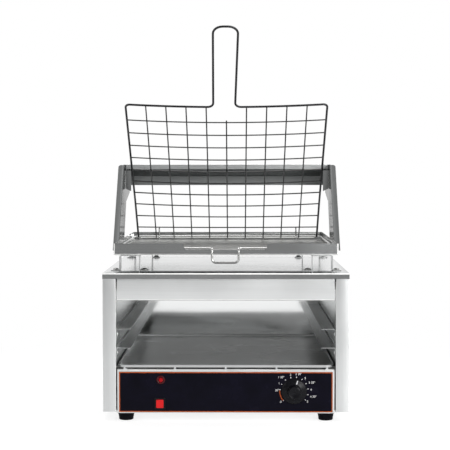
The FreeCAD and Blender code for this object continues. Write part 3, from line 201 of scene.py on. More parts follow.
def smooth_faces(mesh, angle=32):
    mesh.polygons.foreach_set("use_smooth", [True] * len(mesh.polygons))
    mesh.set_sharp_from_angle(angle=math.radians(angle))


def set_down(name, work):
    # a finished shape as an object of its own, with its place in its mesh
    mesh = bpy.data.meshes.new(name)
    work.to_mesh(mesh)
    work.free()
    piece = bpy.data.objects.new(name, mesh)
    scene.collection.objects.link(piece)
    return piece


all_ways = (60, 60, 60)
# near-white steel for the outside faces of the folds: a painted highlight for the light their bend
# radii catch
fold_highlight = steel("FoldPaintedHighlight", (0.93, 0.93, 0.92), 0.45, all_ways, mottle=0.05, metal=0.4)
panel_sheet, panel_fold = 0.0012, 0.0022


def pressed(name, material, body="base", outer=panel_fold, sheet=panel_sheet):
    # a welded copy of a sheet part whose folds get the press's radii, with a
    # painted highlight on their outside faces; a face no wider than the sheet is
    # a cut edge, and cut edges stay sharp
    smallest_bend = 0.0004
    work = bmesh.new()
    work.from_mesh(frame["nodes"][name].data)
    bmesh.ops.remove_doubles(work, verts=work.verts, dist=2e-6)
    bmesh.ops.dissolve_limit(work, angle_limit=math.radians(0.5), verts=work.verts,
                             edges=work.edges)
    for convex, radius in ((True, outer), (False, max(outer - sheet, smallest_bend))):
        folds = []
        for edge in work.edges:
            if len(edge.link_faces) != 2 or edge.is_convex != convex:
                continue
            wide = all(2 * face.calc_area() / face.calc_perimeter() > 1.6 * sheet
                       for face in edge.link_faces)
            if wide and edge.calc_face_angle(0.0) > math.radians(40):
                folds.append(edge)
        if folds:
            bend = bmesh.ops.bevel(work, geom=folds, offset=radius, offset_type="OFFSET",
                                   segments=3, profile=0.5, affect="EDGES", clamp_overlap=True)
            # outer bends take the painted highlight material, inner bends the sheet's own
            for face in bend["faces"]:
                face.material_index = 1 if convex else 0
    piece = set_down(name + "_sheet", work)
    smooth_faces(piece.data)
    piece.data.materials.append(material)
    piece.data.materials.append(fold_highlight)
    stands_for(piece, body, name)
    return piece


across, upright, depthwise = (6, 300, 900), (900, 900, 6), (900, 6, 900)
satin_upright = steel("SatinUpright", (0.66, 0.67, 0.67), 0.40, upright)
satin_across = steel("SatinAcross", (0.70, 0.71, 0.71), 0.42, across)
for hand in ("left", "right"):
    pressed(hand + "_side_panel", satin_upright)
pressed("upper_fascia", satin_across)
pressed("control_panel", satin_across)
pressed("rear_panel", satin_across)
pressed("bottom_plate", satin_across)

# Roof: one wide sheet, polished, with its front and rear edges turned down;
# it mirrors the backdrop, and its flanges mirror the dimmer room in front.
roof_steel = steel("PolishedRoof", (0.475, 0.485, 0.485), 0.13, across, mottle=0.03, wave=0.0005)
pressed("top_panel", roof_steel)

# Toasting space: mirror-bright sheets at the back and above, duller linings
# at the sides, and two ledges on each side, riveted on.
mirror = steel("MirrorSheet", (0.90, 0.91, 0.91), 0.08, across, mottle=0.02, bump=0.0,
               wave=0.0004)
lining = steel("LiningSheet", (0.62, 0.63, 0.63), 0.24, depthwise, wave=0.0006)
dull_steel = steel("DullSheet", (0.20, 0.20, 0.20), 0.5, across, mottle=0.12)
pressed("deck_plate", dull_steel)
for name in ("cavity_back", "upper_reflector"):
    pressed(name, mirror, sheet=0.001, outer=0.0016)
lining_sheet, lining_fold = 0.0008, 0.0014
for hand in ("left", "right"):
    pressed(hand + "_liner", lining, sheet=lining_sheet, outer=lining_fold)
    pressed(hand + "_rails", lining, sheet=lining_sheet, outer=lining_fold)

# Crumb tray: shallow polished pan with rounded front corners, pulled forward
# on the deck; years of wiping have left it greyer than the back sheet.
tray_steel = steel("WipedSteel", (0.50, 0.51, 0.51), 0.30, across, mottle=0.08, wave=0.0004)
pressed("crumb_tray", tray_steel, body="drawer", sheet=0.001, outer=0.0012)


# Quartz tubes: milky silica, and white ceramic bushes at both ends.
def plain_material(name, colour, rough, mottle=0.05, scale=60.0, bump=0.0, shine=0.5):
    faint, strong = 0.3, 0.7
    material = bpy.data.materials.new(name)
    material.use_nodes = True
    make = node_tools(material.node_tree)
    bsdf = material.node_tree.nodes["Principled BSDF"]
    bsdf.inputs["Specular IOR Level"].default_value = shine
    spot = make("ShaderNodeTexCoord")
    cloud = make("ShaderNodeTexNoise", {"Vector": spot.outputs["Object"], "Scale": scale,
                                        "Detail": 4.0})
    shade = make("ShaderNodeMapRange", {"Value": cloud.outputs["Fac"], "From Min": faint,
                                        "From Max": strong, "To Min": 1.0 - mottle,
                                        "To Max": 1.0 + mottle})
    tint = make("ShaderNodeMix", {0: 1.0, 6: (*colour, 1.0), 7: shade.outputs[0]},
                data_type="RGBA", blend_type="MULTIPLY")
    material.node_tree.links.new(tint.outputs[2], bsdf.inputs["Base Color"])
    gloss = make("ShaderNodeMapRange", {"Value": cloud.outputs["Fac"], "From Min": faint,
                                        "From Max": strong, "To Min": rough * 0.85,
                                        "To Max": min(rough * 1.15, 1.0)})
    material.node_tree.links.new(gloss.outputs[0], bsdf.inputs["Roughness"])
    if bump:
        relief = make("ShaderNodeBump", {"Strength": bump, "Distance": 0.0002,
                                         "Height": cloud.outputs["Fac"]})
        material.node_tree.links.new(relief.outputs[0], bsdf.inputs["Normal"])
    return material


def paint_nodes(material, *names):
    for name in names:
        mesh = frame["nodes"][name].data
        mesh.materials.clear()
        mesh.materials.append(material)


paint_nodes(plain_material("MilkyQuartz", (0.78, 0.77, 0.74), 0.25, 0.04, 200.0),
            "heater_tube_1", "heater_tube_2", "heater_tube_3")
paint_nodes(plain_material("Ceramic", (0.82, 0.80, 0.74), 0.55, 0.05, 90.0, 0.2),
            "heater_bushes")

# Control bay inside: plain blocks of black moulding and brown board that are
# only seen through the air slots.
paint_nodes(plain_material("BlackMoulding", (0.018, 0.018, 0.02), 0.45, 0.2, 200.0, 0.2),
            "timer_body", "cable_gland")
paint_nodes(plain_material("Board", (0.16, 0.11, 0.06), 0.6, 0.2, 120.0, 0.2),
            "contactor", "terminal_block")

# Hat brackets: 1.5 mm strip bent up, across and down again, zinc bright.
hat_steel = steel("BrightStrip", (0.74, 0.75, 0.75), 0.28, upright)
strip_sheet = 0.0015
bracket_names = ["bracket_%s_%s" % (end, hand)
                 for end in ("front", "rear") for hand in ("left", "right")]
for name in bracket_names:
    pressed(name, hat_steel, sheet=strip_sheet, outer=0.0026)

# Tray on top: polished pan, its walls folded up and its front wall cut low in
# the middle, where the basket's grip passes over.
pan_steel = steel("TrayPolish", (0.48, 0.49, 0.49), 0.14, across, mottle=0.05, wave=0.0005)
pan_floor = steel("ScouredFloor", (0.50, 0.51, 0.51), 0.50, across, mottle=0.12, metal=0.6)
pan = pressed("tray", pan_steel)
pan.data.materials.append(pan_floor)
for face in pan.data.polygons:
    if face.normal.z > 0.9 and face.area > 0.01:
        face.material_index = 2

# Stand: two slanted arms with outward flanges, the cross channel that joins
# them, and the two hooks beside the raised lid.
arm_steel = steel("ArmPolish", (0.40, 0.41, 0.41), 0.16, upright, mottle=0.05, wave=0.0008,
                  rim=0.5)
# the channel's steel is darker than the arms': painted shade on its web; its lip gets a lighter
# copy: painted light
beam_steel = steel("BeamPolish", (0.30, 0.31, 0.31), 0.48, across, mottle=0.12, wave=0.0006)
beam_lip_painted_light = steel("BeamLipPaintedLight", (0.43, 0.44, 0.44), 0.55, across, mottle=0.10, metal=0.5)
for hand in ("left", "right"):
    pressed("arm_" + hand, arm_steel, outer=0.0028)
    pressed("hook_" + hand, arm_steel, outer=0.0016)
beam = pressed("cross_channel", beam_steel)
beam.data.materials.append(beam_lip_painted_light)
beam_top, lip_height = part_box("cross_channel")[1].z, 0.008
# upright faces near the channel's top take the lighter copy: painted light on the lip
for face in beam.data.polygons:
    if abs(face.normal.z) < 0.3 and face.center.z > beam_top - lip_height:
        face.material_index = 2


# Wire basket: bright chromed wire, rows on columns with their ends bent up to
# the rim, and the rim drawn forward and down over the low wall as a grip.
def geometry_tree(name, inputs):
    tree = bpy.data.node_groups.new(name, "GeometryNodeTree")
    tree.interface.new_socket("Geometry", in_out="INPUT", socket_type="NodeSocketGeometry")
    for label, kind in inputs:
        tree.interface.new_socket(label, in_out="INPUT", socket_type=kind)
    tree.interface.new_socket("Geometry", in_out="OUTPUT", socket_type="NodeSocketGeometry")
    make = node_tools(tree)
    start = make("NodeGroupInput")
    return tree, make, start


def close_tree(make, geometry, material):
    real = make("GeometryNodeRealizeInstances", {0: geometry})
    dressed = make("GeometryNodeSetMaterial", {"Geometry": real.outputs[0],
                                               "Material": material})
    make("NodeGroupOutput", {0: dressed.outputs[0]})


def grown(name, seed_mesh, tree, values):
    # the tree's result on this mesh, as a plain mesh object at the origin
    seed_object = bpy.data.objects.new(name + "_seed", seed_mesh)
    scene.collection.objects.link(seed_object)
    modifier = seed_object.modifiers.new("Grow", "NODES")
    modifier.node_group = tree
    for item in tree.interface.items_tree:
        if item.in_out == "INPUT" and item.name in values:
            modifier[item.identifier] = values[item.name]
    seed_object.update_tag()
    graph = bpy.context.evaluated_depsgraph_get()
    mesh = bpy.data.meshes.new_from_object(seed_object.evaluated_get(graph))
    mesh.name = name
    bpy.data.objects.remove(seed_object)
    piece = bpy.data.objects.new(name, mesh)
    scene.collection.objects.link(piece)
    return piece


wire_tree, make, start = geometry_tree("DrawnWire", (("Radius", "NodeSocketFloat"),
                                                     ("Material", "NodeSocketMaterial")))
ring = make("GeometryNodeCurvePrimitiveCircle", {"Resolution": 10,
                                                 "Radius": start.outputs["Radius"]})
line = make("GeometryNodeMeshToCurve", {"Mesh": start.outputs["Geometry"]})
tube = make("GeometryNodeCurveToMesh", {"Curve": line.outputs[0], "Profile Curve": ring.outputs[0],
                                        "Fill Caps": True})
soft = make("GeometryNodeSetShadeSmooth", {"Geometry": tube.outputs[0]})
close_tree(make, soft.outputs[0], start.outputs["Material"])


def bent(points, radii, closed=False, step=math.radians(15)):
    # corners of a run of wire rounded to their bending radii
    count = len(points)
    out = []
    for i, here in enumerate(points):
        here = Vector(here)
        if radii[i] == 0 or (not closed and i in (0, count - 1)):
            out.append(here)
            continue
        before = (Vector(points[i - 1]) - here).normalized()
        after = (Vector(points[(i + 1) % count]) - here).normalized()
        half = before.angle(after) / 2
        back = radii[i] / math.tan(half)
        middle = here + (before + after).normalized() * (radii[i] / math.sin(half))
        first, last = here + before * back - middle, here + after * back - middle
        sweep = first.angle(last)
        pieces = max(2, math.ceil(sweep / step))
        for k in range(pieces + 1):
            out.append(middle + first.slerp(last, k / pieces) * radii[i])
    return out


def divided(points, length, closed=False):
    # long straight runs cut into shorter ones, so that they can bow
    out = []
    count = len(points) if closed else len(points) - 1
    for i in range(count):
        a, b = points[i], points[(i + 1) % len(points)]
        parts = max(1, math.ceil((b - a).length / length))
        out.extend(a.lerp(b, k / parts) for k in range(parts))
    if not closed:
        out.append(points[-1])
    return out


def wires_mesh(name, runs):
    # one mesh of edges for several runs, each a list of points and whether it closes
    verts, edges = [], []
    for points, closed in runs:
        first = len(verts)
        verts.extend(points)
        edges.extend((first + i, first + i + 1) for i in range(len(points) - 1))
        if closed:
            edges.append((len(verts) - 1, first))
    mesh = bpy.data.meshes.new(name)
    mesh.from_pydata(verts, edges, [])
    return mesh


def joined(name, *pieces):
    # several plain mesh objects made one
    work = bmesh.new()
    kept = []
    for piece in pieces:
        for material in piece.data.materials:
            if material not in kept:
                kept.append(material)
        first = len(work.faces)
        work.from_mesh(piece.data)
        work.faces.ensure_lookup_table()
        own = list(piece.data.materials)
        for face in work.faces[first:]:
            face.material_index = kept.index(own[face.material_index])
    whole = set_down(name, work)
    for material in kept:
        whole.data.materials.append(material)
    for piece in pieces:
        bpy.data.objects.remove(piece)
    return whole


bright_wire = steel("BrightWire", (0.52, 0.52, 0.51), 0.22, all_ways, mottle=0.05)
grey_wire = steel("GreyWire", (0.42, 0.42, 0.41), 0.32, all_ways, mottle=0.10)
# the lid's chrome wire gets dark and near-black base colours: a painted reflection of the dim
# surroundings it mirrors
lid_wire_painted_reflection = steel("LidWirePaintedReflection", (0.10, 0.10, 0.10), 0.30, all_ways, mottle=0.10)
lid_frame_painted_reflection = steel("LidFramePaintedReflection", (0.045, 0.045, 0.047), 0.30, all_ways, mottle=0.10)
tray_low, tray_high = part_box("tray")
rim_radius, cross_radius, mesh_pitch = 0.002, 0.00125, 0.0364
rim_inset, front_gap, back_gap = 0.0055, 0.0038, 0.018
low_wall, resting_gap, weld_bite = 0.0092, 0.0003, 0.0002
rim_half = tray_high.x - rim_inset
rim_front, rim_back = tray_low.y + front_gap, tray_high.y - back_gap
rim_z = tray_low.z + low_wall + resting_gap + rim_radius
low_z = tray_low.z + panel_sheet + resting_gap + cross_radius
high_z = low_z + 2 * cross_radius - weld_bite
grip_left, grip_right, grip_front = -0.024, 0.022, tray_low.y - 0.011
grip_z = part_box("rack")[0].z + rim_radius
rim_corner, grip_neck, grip_foot, mesh_bend = 0.010, 0.005, 0.007, 0.003
rim = bent([
    (-rim_half, rim_back, rim_z), (-rim_half, rim_front, rim_z),
    (grip_left, rim_front, rim_z), (grip_left, grip_front, rim_z),
    (grip_left, grip_front, grip_z), (grip_right, grip_front, grip_z),
    (grip_right, grip_front, rim_z), (grip_right, rim_front, rim_z),
    (rim_half, rim_front, rim_z), (rim_half, rim_back, rim_z)],
    [rim_corner] * 2 + [grip_neck] * 2 + [grip_foot] * 2 + [grip_neck] * 2 + [rim_corner] * 2,
    closed=True)
first_row = 0.025
columns = [k * mesh_pitch for k in range(-4, 5)]
rows = [rim_front + first_row + k * mesh_pitch for k in range(11)]
mesh_runs = []
for x in columns:
    points = [(x, rim_front, rim_z), (x, rim_front, low_z),
              (x, rim_back, low_z), (x, rim_back, rim_z)]
    if grip_left < x < grip_right:
        points = [(x, rows[0] - rim_radius, low_z)] + points[2:]
    mesh_runs.append((bent(points, [mesh_bend] * len(points)), False))
for y in rows:
    points = [(-rim_half, y, rim_z), (-rim_half, y, high_z),
              (rim_half, y, high_z), (rim_half, y, rim_z)]
    mesh_runs.append((bent(points, [mesh_bend] * len(points)), False))
rim_piece = grown("basket_rim", wires_mesh("RimPath", [(rim, True)]), wire_tree,
                  {"Radius": rim_radius, "Material": bright_wire})
mesh_piece = grown("basket_mesh", wires_mesh("BasketPaths", mesh_runs), wire_tree,
                   {"Radius": cross_radius, "Material": grey_wire})
stands_for(joined("wire_basket", rim_piece, mesh_piece), "base", "rack")

# Wire lid: a frame of thicker wire drawn out into a long loop as its handle,
# with crossed wires welded on both sides; use has bowed it between its edges.
joint_at = {joint["name"]: joint["pos_m"] for joint in frame["record"]["behaviour"]["joints"]}
hinge = joint_at["lid_hinge"]
lid_tilt = math.radians(38.2)
along_lid = Vector((0, -math.cos(lid_tilt), math.sin(lid_tilt)))
off_lid = Vector((0, math.sin(lid_tilt), math.cos(lid_tilt)))
lid_half, lid_length, handle_end = 0.182, 0.4084, 0.613
edge_rise, middle_dip = 0.0062, 0.0005
bow_start, bow_full = 0.02, 0.12
frame_radius, weld = 0.002, cross_radius - 0.0001


def on_lid(x, s, lift=0.0):
    # a point of the lid by its place across, its way from the hinge, and its
    # height off the flat; the bow starts a little way from the straight hinge
    start_in = min(max((s - bow_start) / (bow_full - bow_start), 0.0), 1.0)
    across_share = min(abs(x) / lid_half, 1.0) ** 2
    bow = ((edge_rise + middle_dip) * across_share - middle_dip) * start_in
    return Vector(hinge) + Vector((x, 0, 0)) + along_lid * s + off_lid * (lift + bow)


handle_half, shoulder_left, shoulder_right = 0.0213, -0.0235, 0.0158
lid_corner, shoulder_bend, handle_bend = 0.008, 0.0105, 0.017
frame_flat = bent([
    (-lid_half, 0, 0), (lid_half, 0, 0), (lid_half, lid_length, 0), (shoulder_right, lid_length, 0),
    (handle_half, handle_end, 0), (-handle_half, handle_end, 0),
    (shoulder_left, lid_length, 0), (-lid_half, lid_length, 0)],
    [lid_corner] * 3 + [shoulder_bend] + [handle_bend] * 2 + [shoulder_bend, lid_corner],
    closed=True)
longest_straight, spans = 0.02, 24
frame_run = [on_lid(p.x, p.y) for p in divided(frame_flat, longest_straight, closed=True)]
lid_first_row = 0.0392
lid_rows = [lid_first_row + k * mesh_pitch for k in range(10)]
lid_runs = []
for s in lid_rows:
    lid_runs.append(([on_lid(-lid_half + k * 2 * lid_half / spans, s, -weld)
                      for k in range(spans + 1)], False))
for x in columns:
    reach = lid_length if x else lid_rows[-1] + frame_radius
    lid_runs.append(([on_lid(x, k * reach / spans, weld) for k in range(spans + 1)], False))
lid_frame = grown("lid_frame", wires_mesh("LidFramePath", [(frame_run, True)]), wire_tree,
                  {"Radius": frame_radius, "Material": lid_frame_painted_reflection})
lid_mesh = grown("lid_mesh", wires_mesh("LidPaths", lid_runs), wire_tree,
                 {"Radius": cross_radius, "Material": lid_wire_painted_reflection})
lid = joined("wire_lid", lid_frame, lid_mesh)
lid.data.materials.append(grey_wire)
rubbed_end = 0.006
for face in lid.data.polygons:
    # the hinge wire is rubbed brighter where it turns in its eyes
    if (face.center - Vector(hinge)).dot(along_lid) < rubbed_end:
        face.material_index = 2
stands_for(lid, "lid", "lid_grid")

# Hinge eyes: thinner bright wire turned once round the lid's hinge wire, one
# end tucked under the rim and the other left standing up behind.
eye_radius, eye_wire, coil_slip, end_gap = 0.00355, 0.0015, 0.0012, 0.001
steps_round, overlap = 24, 7
for s, hand in ((-1, "left"), (1, "right")):
    loop_low, loop_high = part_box("hinge_loop_" + hand)
    x = (loop_low.x + loop_high.x) / 2
    curl = []
    for k in range(steps_round + overlap):
        angle = 2 * math.pi * k / steps_round
        slip = s * coil_slip * (k / steps_round - 0.5)
        curl.append(Vector((x + slip, hinge[1] + eye_radius * math.cos(angle),
                            hinge[2] + eye_radius * math.sin(angle))))
    foot = [Vector((x, loop_high.y - end_gap, loop_low.z + eye_wire)),
            Vector((x, hinge[1] + eye_radius + end_gap, loop_low.z + eye_wire))]
    tail = [Vector((x, hinge[1] + eye_radius, hinge[2])),
            Vector((x, hinge[1] + eye_radius, loop_high.z))]
    path = wires_mesh("EyePath", [(curl, False), (foot, False), (tail, False)])
    eye_piece = grown("hinge_eye_" + hand, path, wire_tree, {"Radius": eye_wire,
                                                             "Material": bright_wire})
    stands_for(eye_piece, "base", "hinge_loop_" + hand)

# Screws and rivets: domed heads with a cross recess for the driver, and plain
# round rivet heads; each set is one piece, laid out on its own points.
head_tree, make, start = geometry_tree("ScrewHeads", (
    ("Radius", "NodeSocketFloat"), ("Height", "NodeSocketFloat"), ("Recess", "NodeSocketFloat"),
    ("Material", "NodeSocketMaterial")))
ball = make("GeometryNodeMeshUVSphere", {"Segments": 20, "Rings": 12, "Radius": 1.0})
where = make("ShaderNodeSeparateXYZ", {0: make("GeometryNodeInputPosition").outputs[0]})
above = make("ShaderNodeMath", {0: where.outputs["Z"], 1: 0.0}, operation="MAXIMUM")
flat = make("ShaderNodeCombineXYZ", {0: where.outputs["X"], 1: where.outputs["Y"],
                                     2: above.outputs[0]})
dome = make("GeometryNodeSetPosition", {"Geometry": ball.outputs["Mesh"],
                                        "Position": flat.outputs[0]})
bar = make("GeometryNodeMeshCube", {"Size": (1.25, 0.24, 1.2)})
bar_up = make("GeometryNodeTransform", {"Geometry": bar.outputs["Mesh"],
                                        "Translation": (0, 0, 1.1)})
bar_turned = make("GeometryNodeTransform", {"Geometry": bar_up.outputs[0],
                                            "Rotation": (0, 0, math.pi / 2)})
recess_scale = make("ShaderNodeCombineXYZ", {0: start.outputs["Recess"],
                                             1: start.outputs["Recess"], 2: 1.0})
bar_one = make("GeometryNodeTransform", {"Geometry": bar_up.outputs[0],
                                         "Scale": recess_scale.outputs[0]})
bar_two = make("GeometryNodeTransform", {"Geometry": bar_turned.outputs[0],
                                         "Scale": recess_scale.outputs[0]})
cut_one = make("GeometryNodeMeshBoolean", {"Mesh 1": dome.outputs[0],
                                           "Mesh 2": bar_one.outputs[0]}, operation="DIFFERENCE")
cut_two = make("GeometryNodeMeshBoolean", {"Mesh 1": cut_one.outputs[0],
                                           "Mesh 2": bar_two.outputs[0]}, operation="DIFFERENCE")
size = make("ShaderNodeCombineXYZ", {0: start.outputs["Radius"], 1: start.outputs["Radius"],
                                     2: start.outputs["Height"]})
head = make("GeometryNodeTransform", {"Geometry": cut_two.outputs[0], "Scale": size.outputs[0]})
facing = make("GeometryNodeInputNamedAttribute", {"Name": "facing"},
              data_type="FLOAT_VECTOR")
aim = make("FunctionNodeAlignRotationToVector", {"Vector": facing.outputs[0]}, axis="Z")
placed = make("GeometryNodeInstanceOnPoints", {"Points": start.outputs["Geometry"],
                                               "Instance": head.outputs[0],
                                               "Rotation": aim.outputs[0]})
any_turn = make("FunctionNodeRandomValue", {2: 0.0, 3: 1.5, "Seed": 7}, data_type="FLOAT")
spin = make("ShaderNodeCombineXYZ", {2: any_turn.outputs[1]})
spun = make("GeometryNodeRotateInstances", {"Instances": placed.outputs[0],
                                            "Rotation": spin.outputs[0], "Local Space": True})
close_tree(make, spun.outputs[0], start.outputs["Material"])


def heads(name, node, places, sizes, material):
    # places: points on the seat, each with the direction the head faces;
    # sizes: the head's radius, its height and the share of a full recess
    mesh = bpy.data.meshes.new(name + "_points")
    mesh.from_pydata([place for place, direction in places], [], [])
    directions = mesh.attributes.new("facing", "FLOAT_VECTOR", "POINT")
    directions.data.foreach_set("vector", [part for place, direction in places
                                           for part in direction])
    radius, height, recess = sizes
    piece = grown(name, mesh, head_tree, {"Radius": radius, "Height": height, "Recess": recess,
                                          "Material": material})
    smooth_faces(piece.data)
    stands_for(piece, "base", node)


zinc = steel("ZincScrew", (0.34, 0.34, 0.33), 0.26, (200, 200, 200), mottle=0.12, bump=0.05)
rivet_steel = steel("RivetSteel", (0.92, 0.92, 0.91), 0.35, (200, 200, 200), mottle=0.06,
                    metal=0.3)
upward, downward, backward = (0, 0, 1), (0, 0, -1), (0, 1, 0)
small_head, rivet_edge = 0.0046, 0.0026
roof_screw, pan_screw = (0.0055, 0.0028, 1.0), (small_head, 0.0012, 0.8)
arm_screw, panel_screw = (small_head, 0.0024, 1.0), (small_head, 0.0016, 0.9)
foot_screw, rivet = (small_head, 0.002, 0.9), (0.0028, 0.0014, 0.05)
roof_z, screw_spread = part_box("top_panel")[1].z, 0.025
roof_places, pan_places = [], []
for name in bracket_names:
    low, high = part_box(name)
    x, y = (low.x + high.x) / 2, (low.y + high.y) / 2
    for t in (-1, 1):
        roof_places.append(((x + t * screw_spread, y, roof_z + strip_sheet), upward))
    pan_places.append(((x, y, tray_low.z + panel_sheet), upward))
heads("bracket_screw_heads", "bracket_screws", roof_places, roof_screw, zinc)
heads("tray_screw_heads", "tray_screws", pan_places, pan_screw, zinc)


def side_places(node, count):
    # heads on the outer faces of both arms, spread along the node's box
    low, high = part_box(node)
    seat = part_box("arm_right")[0].x + panel_sheet
    run = high.y - low.y - 2 * small_head
    steps = [low.y + small_head + k * run / max(count - 1, 1) for k in range(count)]
    return [((s * seat, y, (low.z + high.z) / 2), (s, 0, 0)) for s in (-1, 1) for y in steps]


for node, count in (("arm_screws", 2), ("channel_screws", 2), ("hook_screws", 1)):
    heads(node + "_heads", node, side_places(node, count), arm_screw, zinc)
low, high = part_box("panel_screws")
back_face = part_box("right_side_panel")[1].y
places = [((s * (high.x - small_head), back_face, z), backward)
          for s in (-1, 1) for z in (low.z + small_head, high.z - small_head)]
heads("panel_screw_heads", "panel_screws", places, panel_screw, zinc)
low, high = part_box("foot_screws")
foot_recess = 0.006
places = [((s * (high.x - small_head), y, foot_recess), downward)
          for s in (-1, 1) for y in (low.y + small_head, high.y - small_head)]
heads("foot_screw_heads", "foot_screws", places, foot_screw, zinc)
for s, hand in ((-1, "left"), (1, "right")):
    low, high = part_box(hand + "_rivets")
    face_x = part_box("right_rails")[1].x - lining_sheet
    places = [((s * face_x, y, z), (-s, 0, 0)) for y in (low.y + rivet_edge, high.y - rivet_edge)
              for z in (low.z + rivet_edge, high.z - rivet_edge)]
    heads(hand + "_rivet_heads", hand + "_rivets", places, rivet, rivet_steel)


# Feet: turned rubber, wider at the top, with a rolled lower edge and two
# shallow grooves round them.
def turned(name, profile, steps, centre, axis="Z"):
    # a closed ring of (radius, height) pairs spun round an axis through centre
    work = bmesh.new()
    rings = []
    for k in range(steps):
        angle = 2 * math.pi * k / steps
        ring = []
        for radius, height in profile:
            spot = Vector((radius * math.cos(angle), radius * math.sin(angle), height))
            if axis == "Y":
                spot = Vector((spot.x, -spot.z, spot.y))
            ring.append(work.verts.new(Vector(centre) + spot))
        rings.append(ring)
    count = len(profile)
    for k in range(steps):
        a, b = rings[k], rings[(k + 1) % steps]
        for i in range(count - 1):
            work.faces.new((a[i], b[i], b[i + 1], a[i + 1]))
    bmesh.ops.remove_doubles(work, verts=work.verts, dist=1e-7)
    bmesh.ops.dissolve_degenerate(work, dist=1e-8, edges=work.edges)
    bmesh.ops.recalc_face_normals(work, faces=work.faces)
    piece = set_down(name, work)
    smooth_faces(piece.data)
    return piece


rubber = plain_material("Rubber", (0.004, 0.004, 0.006), 0.55, 0.25, 300.0, 0.4, shine=0.06)
foot_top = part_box("foot_front_left")[1].z
bore = small_head + 0.0001
foot_profile = [(bore, foot_recess), (bore, 0.0), (0.0108, 0.0), (0.0118, 0.0004),
                (0.0124, 0.0014), (0.0126, 0.0040), (0.0122, 0.0046), (0.0128, 0.0052),
                (0.0134, 0.0080), (0.0130, 0.0086), (0.0137, 0.0092),
                (0.0146, foot_top - 0.0012), (0.0149, foot_top - 0.0004), (0.0146, foot_top),
                (0.0, foot_top), (0.0, foot_recess), (bore, foot_recess)]
for end in ("front", "rear"):
    for hand in ("left", "right"):
        name = "foot_%s_%s" % (end, hand)
        low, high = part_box(name)
        centre = ((low.x + high.x) / 2, (low.y + high.y) / 2, 0.0)
        foot = turned(name + "_rubber", foot_profile, 40, centre)
        foot.data.materials.append(rubber)
        stands_for(foot, "base", name)

# Control face: aluminium plate printed glossy near-black blue, with a thin
# orange border line, dial marks and plain numbers.
navy = plain_material("NavyPrint", (0.0036, 0.0032, 0.0085), 0.25, 0.30, 40.0, shine=0.06)
paint_nodes(navy, "control_face")
orange = plain_material("OrangeInk", (0.50, 0.10, 0.022), 0.45, 0.06, 200.0, shine=0.1)
white_ink = plain_material("WhiteInk", (0.85, 0.85, 0.85), 0.45, 0.06, 200.0, shine=0.2)
face_low, face_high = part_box("control_face")
ink = 0.00006
knob_low, knob_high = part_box("timer_knob")
dial_x, dial_z = joint_at["timer_knob"][0], joint_at["timer_knob"][2]


def printed(name, shapes, material):
    # flat ink shapes on the plate, given as closed outlines in X and Z
    work = bmesh.new()
    for outline in shapes:
        front = [work.verts.new((x, face_low.y - ink, z)) for x, z in outline]
        back = [work.verts.new((x, face_low.y + ink, z)) for x, z in outline]
        work.faces.new(front)
        work.faces.new(back[::-1])
        for i in range(len(outline)):
            k = (i + 1) % len(outline)
            work.faces.new((front[i], back[i], back[k], front[k]))
    bmesh.ops.recalc_face_normals(work, faces=work.faces)
    piece = set_down(name, work)
    piece.data.materials.append(material)
    return piece


def strip(x0, x1, z0, z1):
    return [(x0, z0), (x1, z0), (x1, z1), (x0, z1)]


def dial(angle, radius):
    # a place on the dial, its angle clockwise from the top
    turned_by = math.radians(angle)
    return dial_x + radius * math.sin(turned_by), dial_z + radius * math.cos(turned_by)


line_width, inset = 0.0015, 0.0002
x0, x1 = face_low.x + inset, face_high.x - inset
z0, z1 = face_low.z + inset, face_high.z - inset
border = [strip(x0, x1, z0, z0 + line_width), strip(x0, x1, z1 - line_width, z1),
          strip(x0, x0 + line_width, z0 + line_width, z1 - line_width),
          strip(x1 - line_width, x1, z0 + line_width, z1 - line_width)]
arc_radius, arc_width, arc_start, arc_end, arc_steps = 0.0238, 0.0014, -131, -86, 12
arc = []
for k in range(arc_steps):
    here = arc_start + (arc_end - arc_start) * k / arc_steps
    after = arc_start + (arc_end - arc_start) * (k + 1) / arc_steps
    arc.append([dial(here, arc_radius), dial(after, arc_radius),
                dial(after, arc_radius + arc_width), dial(here, arc_radius + arc_width)])
orange_print = printed("orange_print", border + arc, orange)
tick_angles = [-131] + [-84 + 23.5 * k for k in range(10)]
tick_start, tick_end, tick_half = 0.0232, 0.0252, 0.00055
side = math.degrees(tick_half / tick_start)
ticks = []
for angle in tick_angles:
    ticks.append([dial(angle - side, tick_start), dial(angle + side, tick_start),
                  dial(angle + side, tick_end), dial(angle - side, tick_end)])
white_print = printed("white_print", ticks, white_ink)
numbers = []
number_size, number_radius = 0.0052, 0.0290
label_angles = (-129, -87, -62, -43, -12.5, 14.5, 40, 64, 85, 106, 128)
for k, angle in enumerate(label_angles):
    # whole numbers alternate with half steps, whose longer labels stand further out
    whole = "" if k == 1 else "%d " % (k // 2)
    label = whole + "30\"" if k % 2 else "%d" % (k // 2)
    text_curve = bpy.data.curves.new("DialNumber", "FONT")
    text_curve.body = label
    text_curve.size = number_size
    text_curve.extrude = ink
    text_curve.align_x = "CENTER"
    text_curve.align_y = "CENTER"
    text_object = bpy.data.objects.new("DialNumber", text_curve)
    scene.collection.objects.link(text_object)
    bpy.context.view_layer.update()
    text_mesh = bpy.data.meshes.new_from_object(text_object)
    bpy.data.objects.remove(text_object)
    out_by = number_size * abs(math.sin(math.radians(angle))) if len(label) > 3 else 0.0
    x, z = dial(angle, number_radius + out_by)
    text_mesh.transform(Matrix.Translation((x, face_low.y, z))
                        @ Matrix.Rotation(math.pi / 2, 4, "X"))
    text_mesh.materials.clear()
    text_mesh.materials.append(white_ink)
    number = bpy.data.objects.new("DialNumber", text_mesh)
    scene.collection.objects.link(number)
    numbers.append(number)
print_piece = joined("face_print", orange_print, white_print, *numbers)
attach(print_piece, "base")
